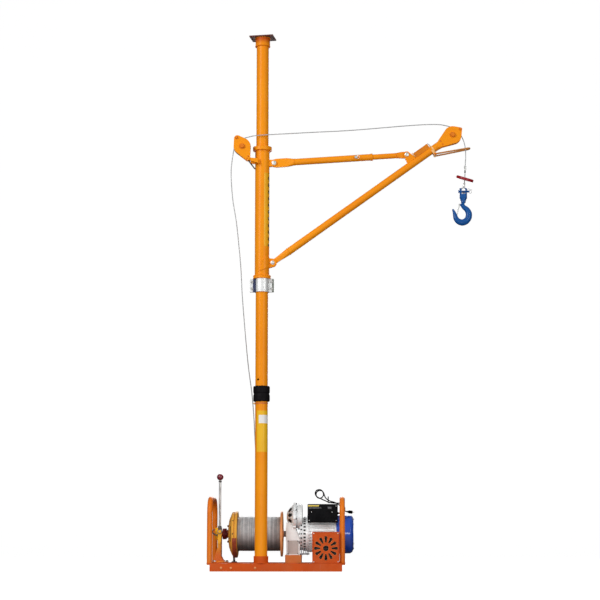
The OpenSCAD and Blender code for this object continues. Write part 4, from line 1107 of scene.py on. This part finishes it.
def hanging(x, z, to_x, to_z):
    """A frame on the fall of rope, its Z towards another place on it."""
    return facing(mm(x, 0, z), mm(to_x - x, 0, to_z - z), Y)


def add_hook_line():
    ferrules = Form().lathe(hanging(1252.8, 2468, 1251.6, 2440), [
        (3, -0.6), (4.6, -0.6), (6.2, 1.2), (6.5, 3), (6.5, 7), (5.9, 8), (5.9, 9.4), (6.5, 10.4), (6.5, 17),
        (5.9, 18), (5.9, 19.4), (6.5, 20.4), (6.5, 26), (5.4, 28), (3, 28)], 32)
    ferrules.lathe(hanging(1245.5, 2359, 1243.2, 2334.2), [
        (3, -0.6), (4.6, -0.6), (6.3, 1), (6.5, 3), (6.5, 8), (5.8, 9), (5.8, 11), (6.5, 12), (6.5, 20),
        (6, 23), (4.8, 25), (3, 25)], 32)
    piece("crimped_ferrules", ferrules, ZINC, "hook_line", ["rope_ferrules"])
    piece("rope_stop", Form().nut(hanging(1251.4, 2436, 1251, 2424), 9, 12), DARK_STEEL, "hook_line")

    x, z = 1241, 2312.4
    eye = [(a, 0, b) for a, b in arc(x, z, 17.6, 96, 444, 60)]
    rope_along("rope_eye", [(1243.1, 0, 2336), *eye, (1240.4, 0, 2337)], "hook_line")
    groove = [(13.2, -2), (15, -4), (19, -4.5), (20, -3.6), (16.6, -2.4), (15, 0), (16.6, 2.4), (20, 3.6),
              (19, 4.5), (15, 4), (13.2, 2), (12.6, 0)]
    thimble = Form().skin([[mm(x + a * r, y, z + b * r) for r, y in groove]
                           for a, b in arc(0, 0, 1, 110, 430, 40)])
    piece("rope_thimble", thimble, STEEL, "hook_line", angle=50)

    tilt, lean = math.radians(17), math.radians(13)
    normal = (math.sin(tilt) * math.cos(lean), -math.sin(lean), math.cos(tilt) * math.cos(lean))
    disc = Form().lathe(facing(mm(1249, 0, 2386), normal, Y), mirrored([
        (3, -9), (14, -9), (16, -8), (46, -8), (49, -9), (52, -8.6), (54.4, -6.5), (55, -3.5)]),
        72, loop=True)
    piece("rope_stop_disc", disc, DARK_RED, "hook_line", ["stop_disc"])

    pin = Form().lathe(facing(mm(1212, 0, 2306), -X, Z), [(0, 0), (9, 0), (9, 3), (7.6, 5), (0, 5.4)], 28)
    pin.lathe(facing(mm(1264, 0, 2306), X, Z),
              [(0, 0), (8, 0), (8, 3), (5.6, 3.4), (5.6, 12), (4.6, 13), (0, 13)], 28)
    piece("shackle_pin_ends", pin, HOOK_BLUE, "hook_line")
    cotter = Form().sweep([(1281 + 8.5 * a, 4 * b, 2304 + 11 * b) for a, b in circle(1, 30)], 1.1, 8, True)
    cotter.sweep([(1272, -9, 2308), (1273, 0, 2307), (1274, 9, 2306), (1277, 13, 2301)], 1.4, 8)
    cotter.sweep([(1262, -4, 2318), (1272, -3, 2322), (1284, -2, 2317), (1293, 0, 2315)], 1.3, 8)
    piece("shackle_cotter", cotter, STEEL, "hook_line")


def add_hook():
    """The hook, swept along its bend with a fuller body on the outside, and its latch's small parts."""
    line = smooth(HOOK, 8)
    last = len(line) - 1
    radii = [a + (b - a) * i / 8 for a, b in zip(HOOK_RADII, HOOK_RADII[1:]) for i in range(8)]
    radii.append(HOOK_RADII[-1])
    rings = []
    for i, point in enumerate(line):
        out = (line[min(i + 1, last)] - line[max(i - 1, 0)]).cross(Y).normalized()
        if out.dot(point - Vector((1226, 0, 2150))) < 0:
            out = -out
        body = min(max((i - 24) / 16, 0), 1) * min(max((len(line) - i) / 24, 0), 1)
        ring = []
        for u, v in circle(1, 28):
            flat = (1 - 0.1 * body * max(u, 0)) * (1 - 0.12 * body * (0.5 + 0.5 * u))
            ring.append((point + radii[i] * (out * u + Y * v * flat)) * MM)
        rings.append(ring)
    end = line[-1] * MM
    tip = end + (line[-1] - line[-2]).normalized() * 3 * MM
    hook = Form().skin([*rings, [end.lerp(tip, 0.7) + (p - end) * 0.6 for p in rings[-1]], [tip]])
    hook.prism(front(0, 3, 0), [(1212, 2217), (1219, 2215), (1231, 2217), (1231, 2229), (1213, 2229),
                                (1209.5, 2227), (1208, 2223), (1209.5, 2219)], 6, 0.8)
    hook.lathe(upwards(1238, 0, 2236), [(0, -2), (11, -2), (13, 0), (13, 4), (11, 6.4), (0, 6.4)], 36)
    piece("forged_hook", hook, HOOK_BLUE, "hook", ["hook"], angle=46)

    rivets = Form()
    for y in (-8.8, 7.6):
        rivets.sweep([(1214, y, 2223), (1214, y + 1.2, 2223)], 3.4, 16)
    for side in (-1, 1):
        rivets.sweep([(1205, 6.4 * side, 2199), (1201, 6.4 * side, 2182), (1199.6, 6.2 * side, 2168)], 1.1, 8)
    piece("latch_rivets", rivets, STEEL, "latch")


# ---- the winch ----

def puck(r, h):
    """The profile of a plain round plate."""
    return [(0, 0), (r, 0), (r, h), (0, h)]


def on_dish(r, lift=0.2):
    """The height on the brake wheel's dished face at radius r, lifted a little off it."""
    return 52 - (r - 86) * 17 / 42 + lift


def add_wheel():
    """The clutch's jaws, the brake wheel's studs, and its slots and holes drawn as dark patches of painted
    shade.
    """
    hub = Form().lathe(on_shaft(-244.4), [(18, 0), (30, 0), (33.2, 2), (33.2, 16), (30, 17), (25.4, 17.6),
                                          (25.4, 31), (18, 31)], loop=True)
    hub.ring(Form().block(upwards(29, 0, 17), (8, 9, 7)), 8, 0, on_shaft(-244.4))
    piece("clutch_hub", hub, HUB_RED, "drum")
    studs = Form().ring(Form().bolt(IDENTITY, 7), 6, 54, on_shaft(-208.6, -1))
    piece("wheel_studs", studs, HUB_RED, "drum")

    # Dark patches for the wheel's slots and holes: painted shade.
    face = on_shaft(-151, -1)
    slots = Form()
    for first in (38, 158, 278):
        slots.skin([[face @ mm(r * x, r * y, on_dish(r, lift))
                     for r, lift in ((114, 0.2), (123, 0.2), (123, 0.8), (114, 0.8))]
                    for x, y in arc(0, 0, 1, first, first + 45, 15)])
    slots.ring(Form().lathe(upwards(100, 0, 11), puck(11.6, 0.8), 24), 6, 0, turned(face, 15))
    dot = Form().lathe(facing(mm(104, 0, on_dish(104)), (17, 0, 42), Y), puck(5, 0.5), 20)
    slots.ring(dot, 6, 0, turned(face, 45))
    slots.ring(Form().lathe(facing(mm(133.8, 0, 24.5), X, Y), puck(4.2, 0.5), 18), 10, 0, face)
    piece("wheel_slots", slots, HOLLOW_SHADE, "drum")

    rim = Form().lathe(on_shaft(111), [(132.6, -0.4), (136.8, 0.6), (136.8, 11.4), (132.6, 12.4),
                                       (131.6, 11.8), (131.6, 0.2)], 96, loop=True)
    rim.lathe(on_shaft(122.6), [(18.4, 0), (40, 0), (40, 3), (37, 5), (24, 6), (18.4, 6)], loop=True)
    piece("flange_rim", rim, LIP_ORANGE, "drum")


def add_brake():
    band = Form()
    for r0, r1, half in ((139.2, 142.4, 13), (142.2, 144, 4)):
        band.skin([[mm(w - 166, SHAFT_Y + r * a, SHAFT_Z + r * b)
                    for r, w in ((r0, -half), (r0, half), (r1, half), (r1, -half))]
                   for a, b in arc(0, 0, 1, 198, 342, 36)])
    for a, b in arc(0, 0, 142.2, 204, 336, 11):
        for x in (-174.5, -157.5):
            band.lathe(facing(mm(x, SHAFT_Y + a, SHAFT_Z + b), (0, a, b), X),
                       [(0, 0), (3.6, 0), (3.4, 1.4), (1.6, 2.4), (0, 2.6)], 14)
    for way in (-1, 1):
        band.block(upwards(-166, SHAFT_Y + way * 134, 172), (26, 5, 24))
        band.bolt(facing(mm(-166, SHAFT_Y + way * 136.5, 184), Y * way, Z), 8)
    piece("brake_band", band, BRAKE_RED, "base")

    coil = [(x, y, 62 + 5.4 * i / 14) for i, (x, y) in enumerate(arc(-186, 378, 7, 0, 9 * 360, 9 * 14))]
    spring = Form().sweep(coil, 1.6, 8)
    spring.sweep([(-186, 378, 49), (-186, 378, 128), (-180, 366, 148), (-170, 344, 166)], 3.6, 12)
    for z in (54, 112, 122):
        spring.nut(upwards(-186, 378, z), 15, 7)
    spring.block(upwards(-184, 378, 48), (34, 30, 6), 1)
    piece("brake_spring", spring, DARK_STEEL, "base")


def add_lever():
    fork = Form().lathe(upwards(-256, 118, 246), [(7.1, 0), (10.4, 0), (11, 2), (11, 20), (9, 24), (7.1, 24)],
                        32, loop=True)
    fork.lathe(upwards(-256, 118, 532), [(7.1, 0), (9.6, 0.6), (9.6, 7), (8.4, 10), (7.1, 10)], 28, loop=True)
    for way in (-1, 1):
        fork.lathe(facing(mm(-256, 118 + way * 10.2, 236), Y * way, X),
                   [(6.4, 0), (13, 0), (13.6, 1), (13.6, 2.4), (6.4, 2.6)], 28, loop=True)
    piece("lever_collars", fork, DARK_STEEL, "clutch_lever")

    catch = Form().sweep([(-272, 152, 214), (-288, 150, 216), (-300, 150, 226), (-303, 150, 238),
                          (-297, 150, 247), (-288, 150, 246)], [4.2, 4.2, 4, 3.8, 3.4, 2], 14)
    catch.block(facing(mm(-270, 152, 214), -X, Z), (16, 16, 4))
    piece("lever_catch", catch, DARK_STEEL, "base")

    beads = Form()
    for y in (156.6, 167.4, 242.6, 253.4):
        beads.seam([(x, y, 56.4) for x in (-294, -250, -216)], 1.8)
    beads.seam(upright_ring(-286.3, 38.4, 48, SHAFT_Y, SHAFT_Z), 1.6, True)
    piece("pedestal_beads", beads, YELLOW, "base", angle=60)


# ---- the gearbox, the motor and the boxes ----

def add_gearbox():
    cover = facing(mm(190, COVER_Y, COVER_Z), X, -Z)
    fin = Form().prism(front(0, 1.6, 0), [(24, -40), (29, -40), (78, -1), (72, 0), (24, -36)], 3.2)
    lug = Form().lathe(IDENTITY, [(0, 0), (7, 0), (7, 14), (6, 15), (0, 15)], 20)
    ribs = Form().ring(fin, 9, 0, cover).ring(lug, 9, 81, cover)
    for z in (27.4, 38.4, 49.4):
        ribs.lathe(shifted(cover, 0, 0, z), [(74, 0), (77, 0.8), (77, 2.4), (74, 3.2)], 72, loop=True)
    piece("gearbox_ribs", ribs, CAST, "base")

    bolts = Form().ring(Form().bolt(IDENTITY, 6), 9, 81, shifted(cover, 0, 0, 15.2))
    bolts.ring(Form().bolt(IDENTITY, 7), 10, 88, on_shaft(228, -1))
    for x in (158, 216):
        for z in (178, 104):
            bolts.screw(front(x, 149.7, z), 3.4)
    piece("gearbox_bolts", bolts, DARK_STEEL, "base")

    # The recessed panel and its ribs take the darker taupe: painted shade of the lower housing.
    rib = Form().block(front(163, 149.7, 141), (3, 68, 1.2), 0.3)
    panel = Form().block(front(187, 151, 141), (66, 80, 1.4), 0.5).row(rib, 5, (12, 0, 0))
    piece("gearbox_panel", panel, SHADED_PANEL, "base")

    # Webs and a foot block under the motor; their dark grey is painted shade.
    web = Form().prism(facing(mm(236, 149, 0), X, Y),
                       [(0, 104), (30, 104), (44, 140), (38, 168), (0, 176)], 5)
    webs = Form().row(web, 4, (13, 0, 0)).block(upwards(258, 170, 97), (56, 46, 8), 1.2)
    webs.bolt(front(244, 147, 101), 6).bolt(front(274, 147, 101), 6)
    piece("gearbox_webs", webs, SHADED_CAST, "base")

    # Dark ovals in the cover's holes and dark blocks round the case: painted shade.
    oval = [(x, y * 1.5) for x, y in circle(11.4, 20)]
    hole = Form().prism(facing(mm(51, 0, -21), (math.cos(0.83), 0, -math.sin(0.83)), Y), oval, 0.7)
    openings = Form().ring(hole, 9, 0, turned(cover, 20))
    for r, z, size, count, x in ((102.1, 12, (13, 10, 0.5), 30, 246), (98.1, 8, (10, 8, 0.5), 24, 230)):
        openings.ring(Form().block(facing(mm(r, 0, z), X, Z), size, 0.2), count, 0, on_shaft(x))
    piece("gearbox_openings", openings, HOLLOW_SHADE, "base")


def add_motor():
    fan = on_shaft(552)
    screws = Form().ring(Form().bolt(IDENTITY, 6), 4, 106, turned(fan, math.degrees(0.6)))
    piece("fan_cover_screws", screws, ZINC, "base")
    # Dark slot shapes on the fan cover: painted shade of its inside.
    slot = Form().prism(upwards(0, 0, -0.2), arc(0, 0, 40, -2.4, 2.4, 3) + arc(0, 0, 88, 3.4, -3.4, 5), 0.5)
    piece("fan_cover_slots", Form().ring(slot, 30, 0, fan), HOLLOW_SHADE, "base")
    rims = Form()
    for r in (36, 92):
        rims.lathe(on_shaft(551.8), [(r, 0), (r + 3, 0), (r + 2.4, 2), (r + 0.6, 2)], 80, loop=True)
    for x in (474.4, 456, 468):
        rims.lathe(on_shaft(x), mirrored([(117.2, -1.4), (119.1, -0.9)]), 96, loop=True)
    piece("fan_cover_rims", rims, BLUE, "base")
    boss = Form().lathe(upwards(300, 205, 333), [(0, -4), (13, -4), (13, 0), (9, 2), (0, 2)], 28)
    piece("motor_boss", boss, FINNED, "base")


def add_control_box():
    lid = Form().block(front(368, 66.2, 343.5), (174, 101, 3), 1.2)
    lid.block(upwards(368, 141, 397.8), (176, 144, 1.8))
    for z in (372, 312):
        lid.block(front(368, 63.6, z), (168, 1.4, 0.8), 0.3)
    piece("control_box_lid", lid, PLASTIC, "base")
    strip = Form().block(front(313, 63.6, 389), (66, 8, 0.6), 0.2)
    piece("control_box_strip", strip, STRIP_YELLOW, "base")
    plate = Form().block(front(322, 63.6, 376), (78, 9, 0.6), 0.2)
    piece("control_box_plate", plate, PLATE, "base")
    screws = Form()
    for x, z in ((301, 352), (424, 352), (287, 301), (449, 301), (449, 387)):
        screws.screw(front(x, 63.4, z), 2.8)
    piece("control_box_screws", screws, ZINC, "base")
    switch = Form().block(front(410, 63.6, 376), (22, 13, 3))
    switch.block(facing(mm(410, 61, 376), (0, -1, 0.2), X), (12, 8, 4))
    piece("control_box_switch", switch, GREY_PLASTIC, "base")


def add_vent():
    # A dark sheet behind the cover's slots: painted shade of the box's inside.
    dark = Form().block(front(388, -20, 140.5), (155, 178, 2), 0.5)
    piece("vent_back_panel", dark, HOLLOW_SHADE, "base")
    bend = [(318, -25, 70), (330, -26, 70), (388, -26, 70), (446, -26, 70), (458, -25, 70)]
    bar = Form().sweep(bend, 1.6, 8)
    piece("vent_resistor_bars", Form().row(bar, 14, (0, 0, 11)), DARK_STEEL, "base")

    side = [(33 + 29 * t, 4 + 5.5 * t) for t in (0.66, 0.33, 0)]
    petal = [*arc(62, 0, 9.5, -90, 90, 10), *side, *[(x, -y) for x, y in side[::-1]]]
    middle = front(388, -34, 136.5)
    # The pale lips round the slots and the inner ring are painted highlight lines.
    lips = Form().ring(Form().sweep([(x, y, 0) for x, y in petal], 0.6, 6, True), 12, 0, middle)
    lips.sweep([(x, y, 0) for x, y in circle(17, 40)], 0.6, 6, True, middle)
    piece("vent_slot_lips", lips, LIP_ORANGE, "base", angle=60)
    folds = Form()
    for x in (309.4, 466.6):
        folds.block(upwards(x, -35, 50), (3, 2, 181), 0.7)
    for z in (50, 228):
        folds.block(upwards(388, -35, z), (150, 2, 3), 0.7)
    piece("vent_cover_folds", folds, RED_ORANGE, "base")


# ---- the whole crane ----

def add_floor():
    """A pale floor that rises into the backdrop, far enough out for a camera behind the crane."""
    f = Finish("pale_floor", Emission_Color=(1, 1, 1, 1), Emission_Strength=0.91)
    cloud = f.noise(0.7)
    pale = f.done(f.mix(cloud, (0.2, 0.2, 0.2), (0.18, 0.18, 0.18)), cloud * 0.1 + 0.8)
    drop = 0.0005
    section = [(-28, 0), (8, 0), *arc(8, 6, 6, -90, 0, 24), (14, 24)]
    sheet = Form().skin([[Vector((x, y, z - drop)) for y, z in section] for x in (-32, 32)],
                        closed=False, caps=False)
    floor = bpy.data.objects.new("floor", sheet.mesh("floor", 60))
    floor.data.materials.append(pale)
    floor.visible_glossy = floor.visible_diffuse = False
    scene.collection.objects.link(floor)


def dress_all():
    for names, *look in (
            ("lower_mast upper_mast slew_sleeve boom_lug tie_lug rear_bracket rear_cheeks boom_tube", ORANGE),
            ("boom_tie_lug head_cheeks tie_outer tie_inner", ORANGE),
            ("drum_barrel", SHADED_FLANGE), ("ceiling_plate", TOP_PLATE), ("ceiling_collar", TOP_COLLAR),
            ("limit_switch", SWITCH_ORANGE), ("limit_band", CREAM), ("limit_arm", ARM_ORANGE),
            ("front_rail rear_rail cross_rails mast_socket vent_box vent_cover", RED_ORANGE),
            ("left_hoop right_hoop", HOOP_ORANGE, 0), ("gearbox_foot", FOOT_ORANGE),
            ("drum_pedestal", PEDESTAL), ("brake_wheel", WHEEL), ("height_clamp", CLAMP_ZINC, 0.0004),
            ("rear_axle head_axle hook_latch", ZINC, 0.0004), ("lever_arm", STEEL, 0.0004),
            ("gearbox_column", COLUMN, 0.0012), ("gearbox_case gearbox_cover", CAST, 0.0012),
            ("motor_body", FINNED, 0.0004), ("motor_shield fan_cover", BLUE), ("hook_shackle", HOOK_BLUE),
            ("rear_sheave head_sheave", DARK_STEEL), ("control_box", PLASTIC), ("lever_knob", MAROON, 0)):
        dress(names, *look)


for add in (add_camera, add_lead, add_ropes, add_studio, add_floor, dress_all, add_base, add_mast, add_sleeve,
            add_boom, add_tie, add_hook_line, add_hook, add_wheel, add_brake, add_lever, add_gearbox,
            add_motor, add_control_box, add_vent):
    add()
